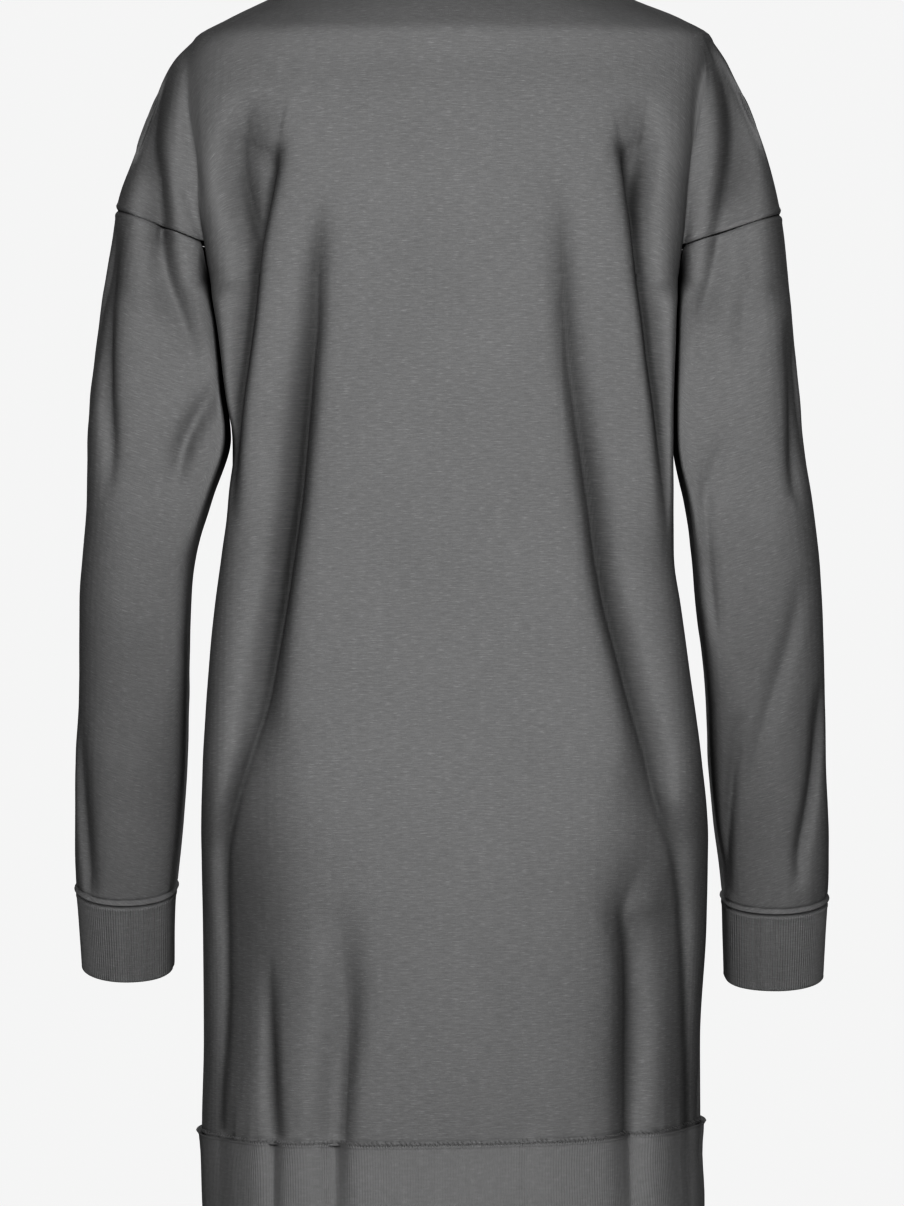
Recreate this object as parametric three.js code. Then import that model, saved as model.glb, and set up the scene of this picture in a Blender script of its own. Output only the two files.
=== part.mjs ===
// Sweatshirt dress: a long-sleeved, drop-shouldered dress of sweatshirt cloth, hollow and filled out as if worn.
// Millimetres, +Z up. The front faces -Y and the wearer's left is +X.
// The origin is the middle of the neck opening at the height of the high shoulder points, where the wearer holds it up.
//
// Every cloth surface is made of horizontal sections. A section of the body is the torso oval and, above the
// underarm, the two arm ovals beside it, run together as one outline. Each sleeve carries its arm oval down to the
// cuff. The sizes of the ovals at each height are in the tables below, and so are the folds.
import * as THREE from "three";

// ---- driving dimensions ----
const CLOTH = 2.0; // fleece-backed sweatshirt cloth
const RIB = 2.4; // doubled rib of cuffs, hem and neck
const SEAM = 0.3; // space left between two pieces at a seam
const UNDERARM_Z = -215; // where side seam, sleeve and body meet
const NECK_HALF_WIDTH = 95;
const BACK_NECK_DROP = 9;
const FRONT_NECK_DROP = 78;
const NECKBAND_HEIGHT = 21;
const HEM_SEAM_Z = -817;
const HEM_LEAN = 0.018; // the hem hangs this much lower per mm towards +X
const HEM_BAND_HEIGHT = 75;

const rows = (names, ...values) =>
  values.map((v) => Object.fromEntries(names.map((n, i) => [n, v[i]])));

// Torso oval: half widths to the wearer's left and right, and depth and fullness of back and front. A fullness of 2 is
// an ellipse, and more is flatter in the middle and rounder at the sides.
const TORSO = rows(
  ["z", "left", "right", "back", "back_full", "front", "front_full"],
  [0, 95, 95, 38, 2.2, 42, 2.2],
  [-17, 130.4, 128.8, 53, 2.2, 54, 2.2],
  [-31, 158.8, 162.8, 67, 2.4, 62, 2.2],
  [-45, 182.3, 184, 78, 2.6, 70, 2.4],
  [-60, 189, 183.3, 80, 2.8, 77, 2.5],
  [-88, 192.3, 180.1, 88, 3.1, 89, 2.7],
  [-130, 186.8, 173.9, 94, 3.7, 105, 2.9],
  [-159, 183.3, 167.7, 97, 4.2, 114, 3],
  [-188, 176.3, 163, 98, 4.8, 121, 3],
  [-215, 170.5, 159.4, 98, 5.4, 126, 3],
  [-247, 164.6, 156.8, 97, 6.2, 129, 3],
  [-306, 158.9, 155.6, 96, 6.6, 127, 3],
  [-330, 156.4, 155.4, 95, 6.4, 125, 3],
  [-372, 156.8, 155, 95, 6, 121, 3],
  [-414, 162.8, 156.2, 97, 5.5, 119, 3],
  [-443, 166.6, 160.6, 101, 5.4, 118, 2.9],
  [-486, 171, 166.6, 108, 5.2, 118, 2.8],
  [-557, 175.7, 176.4, 121, 4.6, 119, 2.6],
  [-613, 177.6, 181.2, 129, 3.2, 120, 2.5],
  [-670, 176.8, 180.6, 131, 2.5, 121, 2.4],
  [-755, 176.2, 176.1, 129, 2.4, 121, 2.3],
  [-817, 177.6, 176.4, 126, 2.4, 120, 2.3],
  [-830, 176.2, 175.2, 125, 2.4, 119, 2.3],
  [-869, 175, 177, 126, 2.3, 119, 2.2],
  [-895, 173, 175, 124, 2.3, 117, 2.2],
);

// Arm ovals: outermost and innermost x, middle y, half depth, and fullness of the inner half: where the sleeve lies
// against the body its corners are squarer than an ellipse.
const ARM = {
  left: rows(
    ["z", "outer", "inner", "mid_y", "depth", "inner_full"],
    [-45, 182.3, 138, 0, 17, 2],
    [-60, 196.8, 150, 0, 32, 2],
    [-74, 204.7, 154, 0, 40, 2],
    [-88, 210.2, 154, 0, 47, 2],
    [-130, 226, 147, 0, 56, 2.1],
    [-159, 236.5, 161, 0, 60, 2.6],
    [-188, 240.8, 169.5, 0, 61.5, 3.4],
    [-215, 245.7, 170.9, 0, 62, 4.2],
    [-247, 249.9, 165.8, 8, 61, 5],
    [-306, 255.9, 159.9, 17, 57, 5.2],
    [-327, 257, 158.4, 18, 55, 5.3],
    [-372, 257.7, 171.6, 18, 51, 5.4],
    [-414, 261.2, 182.7, 14, 47, 5.6],
    [-443, 264, 185.5, 8, 45, 5.7],
    [-514, 265.9, 188.1, -16, 41, 6],
    [-557, 269.4, 189.8, -30, 39, 6],
    [-599, 270.4, 193.3, -43, 37, 6],
    [-642, 271.1, 198.2, -56, 35.5, 5.7],
    [-664, 269.6, 200.3, -62.5, 34, 5.4],
    [-735, 266.5, 202.4, -84, 29.5, 4.4],
  ),
  right: rows(
    ["z", "outer", "inner", "mid_y", "depth", "inner_full"],
    [-45, 184, 138, 0, 17, 2],
    [-60, 194, 142, 0, 32, 2],
    [-74, 200.9, 143, 0, 40, 2],
    [-88, 208, 140, 0, 47, 2],
    [-130, 223.7, 137, 0, 56, 2.1],
    [-159, 231, 151, 0, 60, 2.6],
    [-188, 235.9, 158.5, 0, 61.5, 3.4],
    [-215, 238.4, 160.2, 0, 62, 4.2],
    [-247, 240.9, 158.2, 8, 61, 5],
    [-306, 246.4, 156.6, 17, 57, 5.2],
    [-330, 248.3, 157.2, 18, 54.5, 5.3],
    [-372, 254.5, 165.5, 18, 51, 5.4],
    [-414, 259.9, 170.8, 14, 47, 5.6],
    [-443, 262, 173.5, 8, 45, 5.7],
    [-514, 265.8, 182, -15, 42, 6],
    [-557, 267.4, 184, -28, 40, 6],
    [-599, 270, 188, -40, 38, 6],
    [-642, 270.9, 193.7, -52, 36, 5.7],
    [-668, 269.8, 195.6, -59, 34.5, 5.4],
    [-740, 267.5, 198, -79, 30, 4.3],
  ),
};

// Sleeve seams: height of the armhole seam at the outer arm and its fall inwards, height of the cuff seam and of the
// cuff's end at mid depth, and how much the forearm's forward lean lowers their back edge per mm of depth.
const SLEEVE = {
  left: { armhole: -166, fall: 0.36, cuff: -652, end: -709, lean: 0.3 },
  right: { armhole: -169, fall: 0.31, cuff: -659, end: -716, lean: 0.26 },
};

// Folds: a soft trough runs from start through mid to end, in x and z, with a half width at each end and a depth.
const FOLD = ["x0", "z0", "xm", "zm", "x1", "z1", "w0", "w1", "depth"];
const BACK_FOLDS = rows(
  FOLD,
  [126, -130, 135, -202, 152, -345, 9, 9, 13],
  [91, -180, 100, -290, 117, -430, 12, 12, 17],
  [109, -375, 139, -540, 156, -690, 13, 15, 19],
  [154, -620, 158, -730, 160, -840, 22, 20, 13],
  [72, -650, 66, -730, 72, -840, 12, 12, 12],
  [-121, -130, -131, -222, -148, -385, 9, 9, 12],
  [-76, -170, -86, -300, -110, -442, 12, 12, 13],
  [-100, -385, -133, -535, -160, -655, 13, 15, 16],
  [-158, -615, -165, -740, -164, -840, 20, 16, 9],
  [-128, -630, -116, -710, -115, -840, 12, 12, 13],
);
const FRONT_FOLDS = rows(
  FOLD,
  [128, -150, 126, -250, 146, -372, 11, 12, 9],
  [88, -250, 98, -400, 122, -560, 14, 17, 9],
  [112, -500, 132, -660, 140, -840, 16, 15, 9],
  [40, -660, 46, -750, 44, -840, 15, 15, 6],
  [-124, -146, -128, -240, -148, -360, 11, 12, 9],
  [-84, -260, -96, -420, -120, -540, 14, 16, 9],
  [-112, -480, -130, -660, -128, -840, 16, 15, 9],
  [-58, -640, -66, -740, -64, -840, 15, 14, 6],
);
// On a sleeve the folds run over the angle round the arm in degrees (0 outer, 90 back, 180 inner, 270 front) and z.
const SLEEVE_FOLD = ["a0", "z0", "a1", "z1", "w0", "w1", "depth"];
const SLEEVE_FOLDS = {
  left: rows(
    SLEEVE_FOLD,
    [42, -190, 30, -400, 7, 8, 3.5],
    [30, -400, 24, -620, 8, 8, 3.5],
    [158, -306, 100, -385, 11, 12, 4],
    [205, -300, 262, -372, 11, 12, 4],
    [300, -420, 312, -620, 10, 9, 3.5],
  ),
  right: rows(
    SLEEVE_FOLD,
    [66, -185, 84, -290, 9, 8, 3],
    [44, -320, 34, -480, 7, 8, 3],
    [28, -500, 52, -630, 7, 9, 4],
    [200, -310, 255, -385, 11, 12, 4],
    [295, -430, 318, -610, 10, 9, 3.5],
  ),
};

// ---- curves through the tables ----
const clamp = (v, a, b) => Math.min(b, Math.max(a, v));
const mix = (a, b, t) => a + (b - a) * t;
const smooth = (t) => {
  t = clamp(t, 0, 1);
  return t * t * (3 - 2 * t);
};
// A column of a table at height z, on a smooth curve that never overshoots its rows.
function column(table, name, z) {
  const n = table.length;
  if (z >= table[0].z) return table[0][name];
  if (z <= table[n - 1].z) return table[n - 1][name];
  let i = 0;
  while (table[i + 1].z > z) i++;
  const step = (k) => table[k + 1].z - table[k].z;
  const slope = (k) => (table[k + 1][name] - table[k][name]) / step(k);
  const tangent = (k) => {
    if (k === 0 || k === n - 1) return slope(k === 0 ? 0 : n - 2);
    const a = slope(k - 1),
      b = slope(k);
    if (a * b <= 0) return 0;
    const wa = 2 * step(k) + step(k - 1),
      wb = step(k) + 2 * step(k - 1);
    return (wa + wb) / (wa / a + wb / b);
  };
  const h = step(i),
    t = (z - table[i].z) / h;
  return (
    (2 * t ** 3 - 3 * t ** 2 + 1) * table[i][name] +
    (t ** 3 - 2 * t ** 2 + t) * h * tangent(i) +
    (3 * t ** 2 - 2 * t ** 3) * table[i + 1][name] +
    (t ** 3 - t ** 2) * h * tangent(i + 1)
  );
}

const torsoWidth = (side, z) => column(TORSO, side, z);
const torsoY = (side, face, x, z) => {
  const r = clamp(x / torsoWidth(side, z), 0, 1),
    full = column(TORSO, face + "_full", z);
  return column(TORSO, face, z) * Math.max(0, 1 - r ** full) ** (1 / full);
};
function armOval(side, z) {
  const top = ARM[side][0];
  if (z > top.z) {
    // over the shoulder the arm oval is lost inside the torso oval
    const outer = torsoWidth(side, z);
    return { x: outer - 22, r: 22, y: 0, depth: (17 * z) / top.z, outer, full: 2 };
  }
  const outer = column(ARM[side], "outer", z),
    inner = column(ARM[side], "inner", z);
  return {
    x: (outer + inner) / 2,
    r: (outer - inner) / 2,
    y: column(ARM[side], "mid_y", z),
    depth: column(ARM[side], "depth", z),
    outer,
    full: column(ARM[side], "inner_full", z),
  };
}
// Share of the arm's depth at u, -1 at its inner line and 1 at its outer.
const armSection = (arm, u) => {
  const n = u < 0 ? arm.full : 2;
  return Math.max(0, 1 - Math.min(Math.abs(u), 1) ** n) ** (1 / n);
};
const armY = (arm, x) => arm.depth * armSection(arm, (x - arm.x) / arm.r);

// Where the torso oval and the arm oval cross at height z: the fold line between body and arm.
function foldLine(side, face, z) {
  const arm = armOval(side, z),
    most = Math.min(0.94 * arm.outer, torsoWidth(side, z));
  let lo = Math.max(arm.x - arm.r, 0.6 * arm.outer),
    hi = most;
  const ahead = (x) => armY(arm, x) - torsoY(side, face, x, z);
  if (ahead(hi) <= 0) return most;
  for (let k = 0; k < 40; k++) {
    const m = (lo + hi) / 2;
    if (ahead(m) > 0) hi = m;
    else lo = m;
  }
  return hi;
}
const bodyY = (side, face, x, z) => {
  const t = torsoY(side, face, x, z);
  if (z <= UNDERARM_Z) return t;
  return Math.max(t, armY(armOval(side, z), x));
};

// Depth of the folds at a point of a panel.
function trough(f, px, pz, ends = 0.22) {
  let best = 1e9,
    at = 0;
  const q = (t, a, m, b) => mix(mix(a, m, t), mix(m, b, t), t);
  // the middle of the row is a point of the curve, so its control point lies beyond it
  const cx = 2 * f.xm - (f.x0 + f.x1) / 2,
    cz = 2 * f.zm - (f.z0 + f.z1) / 2;
  for (let k = 0; k <= 24; k++) {
    const t = k / 24,
      d = Math.hypot(px - q(t, f.x0, cx, f.x1), pz - q(t, f.z0, cz, f.z1));
    if (d < best) [best, at] = [d, t];
  }
  const w = mix(f.w0, f.w1, at),
    fade = smooth(at / ends) * smooth((1 - at) / 0.12);
  return f.depth * fade * Math.exp(-((best / w) ** 2));
}
const foldDepth = (folds, x, z) =>
  folds.reduce((sum, f) => sum + trough(f, x, z), 0);

// ---- building shells ----
// A sheet is a list of points with its quads; solid() gives it thickness on its inner side and closes the edges.
class Sheet {
  constructor() {
    this.points = [];
    this.quads = [];
  }
  add(p) {
    this.points.push(p);
    return this.points.length - 1;
  }
  grid(ids, closed = false) {
    for (let j = 0; j + 1 < ids.length; j++) {
      const n = ids[j].length;
      for (let i = 0; i < (closed ? n : n - 1); i++) {
        const k = (i + 1) % n;
        this.quads.push([ids[j][i], ids[j][k], ids[j + 1][k], ids[j + 1][i]]);
      }
    }
  }
  normals() {
    const out = this.points.map(() => new THREE.Vector3());
    for (const [a, b, c, d] of this.quads) {
      const n = new THREE.Vector3()
        .subVectors(this.points[c], this.points[a])
        .cross(
          new THREE.Vector3().subVectors(this.points[d], this.points[b]),
        );
      for (const i of [a, b, c, d]) out[i].add(n);
    }
    return out.map((n) => n.normalize());
  }
  // keep(p, i) may correct an inner point, such as one at a seam.
  solid(thickness, keep = (p) => p) {
    const n = this.points.length,
      normals = this.normals(),
      all = [...this.points];
    this.points.forEach((p, i) =>
      all.push(
        keep(p.clone().addScaledVector(normals[i], -thickness), i, p),
      ),
    );
    const tri = [],
      edges = new Map();
    for (const q of this.quads) {
      const [a, b, c, d] = q;
      tri.push([a, b, c], [a, c, d], [n + c, n + b, n + a], [n + d, n + c, n + a]);
      q.forEach((v, i) => {
        const w = q[(i + 1) % 4];
        if (edges.has(w + "," + v)) edges.delete(w + "," + v);
        else edges.set(v + "," + w, [v, w]);
      });
    }
    for (const [v, w] of edges.values())
      tri.push([w, v, n + v], [w, n + v, n + w]);
    const g = new THREE.BufferGeometry();
    g.setAttribute(
      "position",
      new THREE.BufferAttribute(
        new Float32Array(all.flatMap((p) => [p.x, p.y, p.z])),
        3,
      ),
    );
    g.setIndex(tri.flat());
    g.computeVertexNormals();
    return g;
  }
}

// ---- body panels ----
const TORSO_COLUMNS = 13; // from the middle to the side
const ARM_COLUMNS = 4; // from the fold line to the outer arm
const SKIRT_ROWS = 12;
const PIT_ROWS = 2;
const YOKE_ROWS = 8;
const armholeZ = (side, arm, x) =>
  SLEEVE[side].armhole - SLEEVE[side].fall * (arm.outer - x);
// Height at which the armhole seam meets the fold line.
function pitTop(side, face) {
  let z = -190;
  for (let k = 0; k < 12; k++)
    z = armholeZ(side, armOval(side, z), foldLine(side, face, z));
  return z;
}
// Angle round the arm, 0 at its outer line and 180 at its inner, of the fold line at height z.
function foldAngle(side, face, z) {
  const arm = armOval(side, z),
    r = (foldLine(side, face, z) - arm.x) / arm.r;
  return (Math.acos(clamp(r, -1, 1)) * 180) / Math.PI;
}
// Height of the armhole seam at an angle round the arm: along the seam over the arm, then down the fold line to the
// underarm.
function armholeAt(side, face, angle) {
  const top = pitTop(side, face);
  if (angle <= foldAngle(side, face, top)) {
    const arm = armOval(side, top),
      x = arm.x + arm.r * Math.cos((angle * Math.PI) / 180);
    return mix(
      SLEEVE[side].armhole,
      armholeZ(side, arm, x),
      smooth(angle / 30),
    );
  }
  let lo = UNDERARM_Z,
    hi = top;
  for (let k = 0; k < 30; k++) {
    const m = (lo + hi) / 2;
    if (foldAngle(side, face, m) > angle) lo = m;
    else hi = m;
  }
  return (lo + hi) / 2;
}
// The neck seam: s runs from 0 at the middle to 1 at the high shoulder point.
const neckline = (face, s) => {
  const a = (Math.PI / 2) * s;
  return {
    x: NECK_HALF_WIDTH * Math.sin(a),
    z:
      face === "back"
        ? -BACK_NECK_DROP * Math.cos(a) ** 1.6
        : -FRONT_NECK_DROP * Math.cos(a) ** 1.7,
  };
};
const SPLIT = 0.78; // share of the columns inside the fold line at the neck

function bodyPanel(face) {
  const back = face === "back",
    folds = back ? BACK_FOLDS : FRONT_FOLDS,
    sheet = new Sheet();
  const place = (side, x, z) => {
    const sx = side === "left" ? 1 : -1,
      edge = smooth((Math.max(bodyY(side, face, x, z), 0) - 6) / 30);
    let y = bodyY(side, face, x, z);
    y -= foldDepth(folds, sx * x, z) * edge;
    y = Math.max(y, SEAM / 2);
    return new THREE.Vector3(sx * x, back ? y : -y, z);
  };
  const torsoX = (side, s, z) => {
    const w = torsoWidth(side, z),
      k = z <= UNDERARM_Z ? w : foldLine(side, face, z) - SEAM / 2;
    return w * Math.sin(s * Math.asin(clamp(k / w, 0, 1)));
  };
  // Point on the panel above the armhole: v runs from 0 at the armhole seam to 1 at the neck.
  const yoke = (side, torsoShare, armShare, v) => {
    const top = pitTop(side, face),
      s = SPLIT * torsoShare + (1 - SPLIT) * armShare,
      n = neckline(face, s),
      seamAngle = (1 - armShare) * foldAngle(side, face, top),
      from = (armShare > 0 ? armholeAt(side, face, seamAngle) : top) + SEAM / 2,
      z = mix(from, n.z, v),
      arm = armOval(side, z),
      angle =
        foldAngle(side, face, z) *
        mix(seamAngle / foldAngle(side, face, from), 1 - armShare, smooth(v * 3)),
      x =
        armShare > 0
          ? arm.x + arm.r * Math.cos((angle * Math.PI) / 180)
          : torsoX(side, torsoShare, z),
      atNeck = n.x / armOval(side, n.z).outer,
      share = mix(x / arm.outer, atNeck, smooth((v - 0.3) / 0.7));
    return place(side, share * arm.outer, z);
  };
  const hem = (sx, x) => HEM_SEAM_Z + SEAM / 2 - HEM_LEAN * sx * x;
  // order of a row: left edge .. middle .. right edge, seen with +X first
  const acrossTorso = [];
  for (let i = TORSO_COLUMNS; i >= 0; i--)
    acrossTorso.push(["left", i / TORSO_COLUMNS]);
  for (let i = 1; i <= TORSO_COLUMNS; i++)
    acrossTorso.push(["right", i / TORSO_COLUMNS]);
  const grid = [];
  for (let j = 0; j <= SKIRT_ROWS; j++)
    grid.push(
      acrossTorso.map(([side, s]) => {
        const sx = side === "left" ? 1 : -1,
          low = hem(sx, torsoWidth(side, HEM_SEAM_Z) * Math.sin((s * Math.PI) / 2)),
          z = mix(low, UNDERARM_Z, j / SKIRT_ROWS);
        return sheet.add(place(side, torsoX(side, s, z), z));
      }),
    );
  for (let j = 1; j < PIT_ROWS; j++)
    grid.push(
      acrossTorso.map(([side, s]) => {
        const z = mix(UNDERARM_Z, pitTop(side, face) + SEAM / 2, j / PIT_ROWS);
        return sheet.add(place(side, torsoX(side, s, z), z));
      }),
    );
  const upper = [];
  for (let j = 0; j <= YOKE_ROWS; j++) {
    const v = j / YOKE_ROWS;
    upper.push(
      acrossTorso.map(([side, s]) => sheet.add(yoke(side, s, 0, v))),
    );
  }
  sheet.grid([...grid, ...upper]);
  for (const side of ["left", "right"]) {
    const ids = upper.map((row, j) => {
      const inner = side === "left" ? row[0] : row[row.length - 1],
        ear = [inner];
      for (let i = 1; i <= ARM_COLUMNS; i++)
        ear.push(sheet.add(yoke(side, 1, i / ARM_COLUMNS, j / YOKE_ROWS)));
      return side === "left" ? ear.reverse() : ear;
    });
    sheet.grid(ids);
  }
  if (!back) sheet.quads.forEach((q) => q.reverse());
  // the faces of the back panel look towards +Y
  return sheet.solid(CLOTH, (p) => {
    if (back) p.y = Math.max(p.y, SEAM / 2);
    else p.y = Math.min(p.y, -SEAM / 2);
    return p;
  });
}

// ---- sleeves and cuffs ----
const INNER_COLUMNS = 7; // from the fold line to the inner line of the arm
const SLEEVE_ROWS = 13;
const around = (a, b) => Math.abs(((a - b + 540) % 360) - 180);
function sleeveFold(side, angle, z, arm) {
  const mean = (arm.r + arm.depth) / 2;
  return SLEEVE_FOLDS[side].reduce((sum, f) => {
    const t = clamp((z - f.z0) / (f.z1 - f.z0), 0, 1),
      a = mix(f.a0, f.a1, t),
      d = Math.hypot(
        (around(angle, a) * Math.PI * mean) / 180,
        z - clamp(z, Math.min(f.z0, f.z1), Math.max(f.z0, f.z1)),
      ),
      lean = Math.cos(
        Math.atan(
          (((f.a1 - f.a0) * Math.PI) / 180) * (mean / (f.z1 - f.z0)),
        ),
      ),
      fade = smooth(t / 0.2) * smooth((1 - t) / 0.2);
    return sum + f.depth * fade * Math.exp(-(((d * lean) / mix(f.w0, f.w1, t)) ** 2));
  }, 0);
}
function armPoint(side, angle, z, shrink = 0) {
  const sx = side === "left" ? 1 : -1,
    arm = armOval(side, z),
    c = Math.cos((angle * Math.PI) / 180),
    face = angle === 0 || angle === 180 ? 0 : angle < 180 ? 1 : -1;
  return new THREE.Vector3(
    sx * (arm.x + (arm.r - shrink) * c),
    arm.y + (arm.depth - shrink) * face * armSection(arm, c),
    z,
  );
}
const ringZ = (side, angle, mid) => {
  const arm = armOval(side, mid);
  return (
    mid - SLEEVE[side].lean * arm.depth * Math.sin((angle * Math.PI) / 180)
  );
};
// Angles of a sleeve's columns: they start from the body panel's own columns at the armhole seam.
function sleeveAngles(side) {
  const half = (face) => {
    const meet = foldAngle(side, face, pitTop(side, face)),
      out = [];
    for (let i = 0; i < ARM_COLUMNS; i++) out.push((i / ARM_COLUMNS) * meet);
    for (let i = 0; i < INNER_COLUMNS; i++)
      out.push(mix(meet, 180, i / INNER_COLUMNS));
    return out;
  };
  return [
    ...half("back"),
    180,
    ...half("front")
      .slice(1)
      .map((a) => 360 - a)
      .reverse(),
  ];
}
function tube(side, thickness, rowsOf, foldsOn) {
  const sheet = new Sheet(),
    ids = rowsOf.map((zAt) =>
      sleeveAngles(side).map((angle) => {
        const z = zAt(angle),
          arm = armOval(side, z),
          edge = foldsOn ? sleeveFold(side, angle, z, arm) : 0;
        return sheet.add(armPoint(side, angle, z, edge));
      }),
    );
  sheet.grid(ids, true);
  if (side === "left") sheet.quads.forEach((q) => q.reverse());
  return sheet.solid(thickness);
}
const sleeve = (side) =>
  tube(
    side,
    CLOTH,
    Array.from({ length: SLEEVE_ROWS + 1 }, (_, j) => (angle) => {
      const seam =
        angle <= 180
          ? armholeAt(side, "back", angle)
          : armholeAt(side, "front", 360 - angle);
      return mix(
        seam - SEAM / 2,
        ringZ(side, angle, SLEEVE[side].cuff) + SEAM / 2,
        j / SLEEVE_ROWS,
      );
    }),
    true,
  );
const cuff = (side) =>
  tube(
    side,
    RIB,
    Array.from({ length: 3 }, (_, j) => (angle) =>
      mix(
        ringZ(side, angle, SLEEVE[side].cuff) - SEAM / 2,
        ringZ(side, angle, SLEEVE[side].end),
        j / 2,
      ),
    ),
    false,
  );

// ---- hem band and neckband ----
function hemBand() {
  const sheet = new Sheet(),
    n = 4 * TORSO_COLUMNS, // the band's lengthwise edges meet the body's
    levels = 2,
    ids = [];
  for (let j = 0; j <= levels; j++)
    ids.push(
      Array.from({ length: n }, (_, i) => {
        const a = (2 * Math.PI * i) / n,
          side = Math.cos(a) >= 0 ? "left" : "right",
          face = Math.sin(a) >= 0 ? "back" : "front",
          cx = Math.cos(a),
          x0 = torsoWidth(side, HEM_SEAM_Z) * cx,
          z =
            HEM_SEAM_Z -
            HEM_LEAN * x0 -
            mix(SEAM / 2, HEM_BAND_HEIGHT, j / levels),
          x = torsoWidth(side, z) * cx,
          y =
            Math.sign(Math.sin(a)) * torsoY(side, face, Math.abs(x), z),
          f =
            foldDepth(face === "back" ? BACK_FOLDS : FRONT_FOLDS, x, -812) *
            smooth((Math.abs(y) - 6) / 30) *
            (1 - 0.25 * j);
        return sheet.add(new THREE.Vector3(x, y - Math.sign(y) * f, z));
      }),
    );
  sheet.grid(ids, true);
  sheet.quads.forEach((q) => q.reverse());
  return sheet.solid(RIB);
}
function neckBand() {
  const sheet = new Sheet(),
    half = 9,
    loop = [];
  for (let i = 0; i <= half; i++) loop.push(["back", 1, 1 - i / half]);
  for (let i = 1; i <= half; i++) loop.push(["back", -1, i / half]);
  for (let i = 1; i <= half; i++) loop.push(["front", -1, 1 - i / half]);
  for (let i = 1; i < half; i++) loop.push(["front", 1, i / half]);
  const foot = loop.map(([face, sx, s]) => {
    const n = neckline(face, s),
      y = bodyY("left", face, n.x, n.z);
    return new THREE.Vector3(sx * n.x, face === "back" ? y : -y, n.z);
  });
  const ids = [0.7, 11, NECKBAND_HEIGHT].map((h) =>
    foot.map((p) => {
      const inward = new THREE.Vector3(-p.x, -12 - p.y, 0).normalize(),
        up = new THREE.Vector3(0, 0, 1);
      return sheet.add(
        p
          .clone()
          .addScaledVector(inward, 0.6 + h * 0.42 - 0.006 * h * h)
          .addScaledVector(up, h * 0.9 + 0.2),
      );
    }),
  );
  sheet.grid(ids, true);
  return sheet.solid(RIB);
}

// ---- the dress ----
const cloth = () =>
  new THREE.MeshStandardMaterial({ color: 0x777777, roughness: 0.95, metalness: 0, side: THREE.DoubleSide });
const rib = () =>
  new THREE.MeshStandardMaterial({ color: 0x707070, roughness: 0.95, metalness: 0, side: THREE.DoubleSide });
const dress = new THREE.Group();
for (const [name, geometry, material] of [
  ["body_back", bodyPanel("back"), cloth()],
  ["body_front", bodyPanel("front"), cloth()],
  ["sleeve_left", sleeve("left"), cloth()],
  ["sleeve_right", sleeve("right"), cloth()],
  ["cuff_left", cuff("left"), rib()],
  ["cuff_right", cuff("right"), rib()],
  ["hem_band", hemBand(), rib()],
  ["neckband", neckBand(), rib()],
]) {
  const mesh = new THREE.Mesh(geometry, material);
  mesh.name = name;
  dress.add(mesh);
}
export default dress;
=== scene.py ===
"""Sweatshirt dress, filled out as worn: fine cloth shells, rib knit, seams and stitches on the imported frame.

Every cloth piece is a thin shell on the same horizontal sections as its solid: the torso oval and, above the
underarm, the two arm ovals beside it. Folds are soft troughs laid along the rows of the fold tables, in millimetres
as seen from the back or the front. All lengths are in millimetres until a mesh is made.
"""

import math

import bpy
import numpy as np
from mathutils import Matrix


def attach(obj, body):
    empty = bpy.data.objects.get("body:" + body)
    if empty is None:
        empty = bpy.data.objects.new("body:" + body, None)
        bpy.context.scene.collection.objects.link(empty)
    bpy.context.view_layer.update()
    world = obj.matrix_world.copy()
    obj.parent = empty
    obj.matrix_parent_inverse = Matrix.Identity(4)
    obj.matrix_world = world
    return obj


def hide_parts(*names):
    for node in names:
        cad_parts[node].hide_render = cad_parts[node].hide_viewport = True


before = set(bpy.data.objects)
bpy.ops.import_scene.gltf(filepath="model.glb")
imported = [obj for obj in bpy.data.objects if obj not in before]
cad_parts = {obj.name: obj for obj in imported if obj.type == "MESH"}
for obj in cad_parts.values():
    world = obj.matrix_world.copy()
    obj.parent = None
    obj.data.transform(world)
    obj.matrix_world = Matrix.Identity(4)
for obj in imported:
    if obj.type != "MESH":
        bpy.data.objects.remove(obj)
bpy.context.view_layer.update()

# ---------------------------------------------------------------- sizes
CLOTH = 2.0
RIB = 2.4
SEAM = 0.3
UNDERARM_Z = -215.0
NECK_HALF_WIDTH = 95.0
BACK_NECK_DROP = 9.0
FRONT_NECK_DROP = 78.0
NECKBAND_HEIGHT = 21.0
HEM_SEAM_Z = -817.0
HEM_LEAN = 0.018
HEM_BAND_HEIGHT = 75.0
RIB_PITCH = 1.85
SPLIT = 0.78

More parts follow.
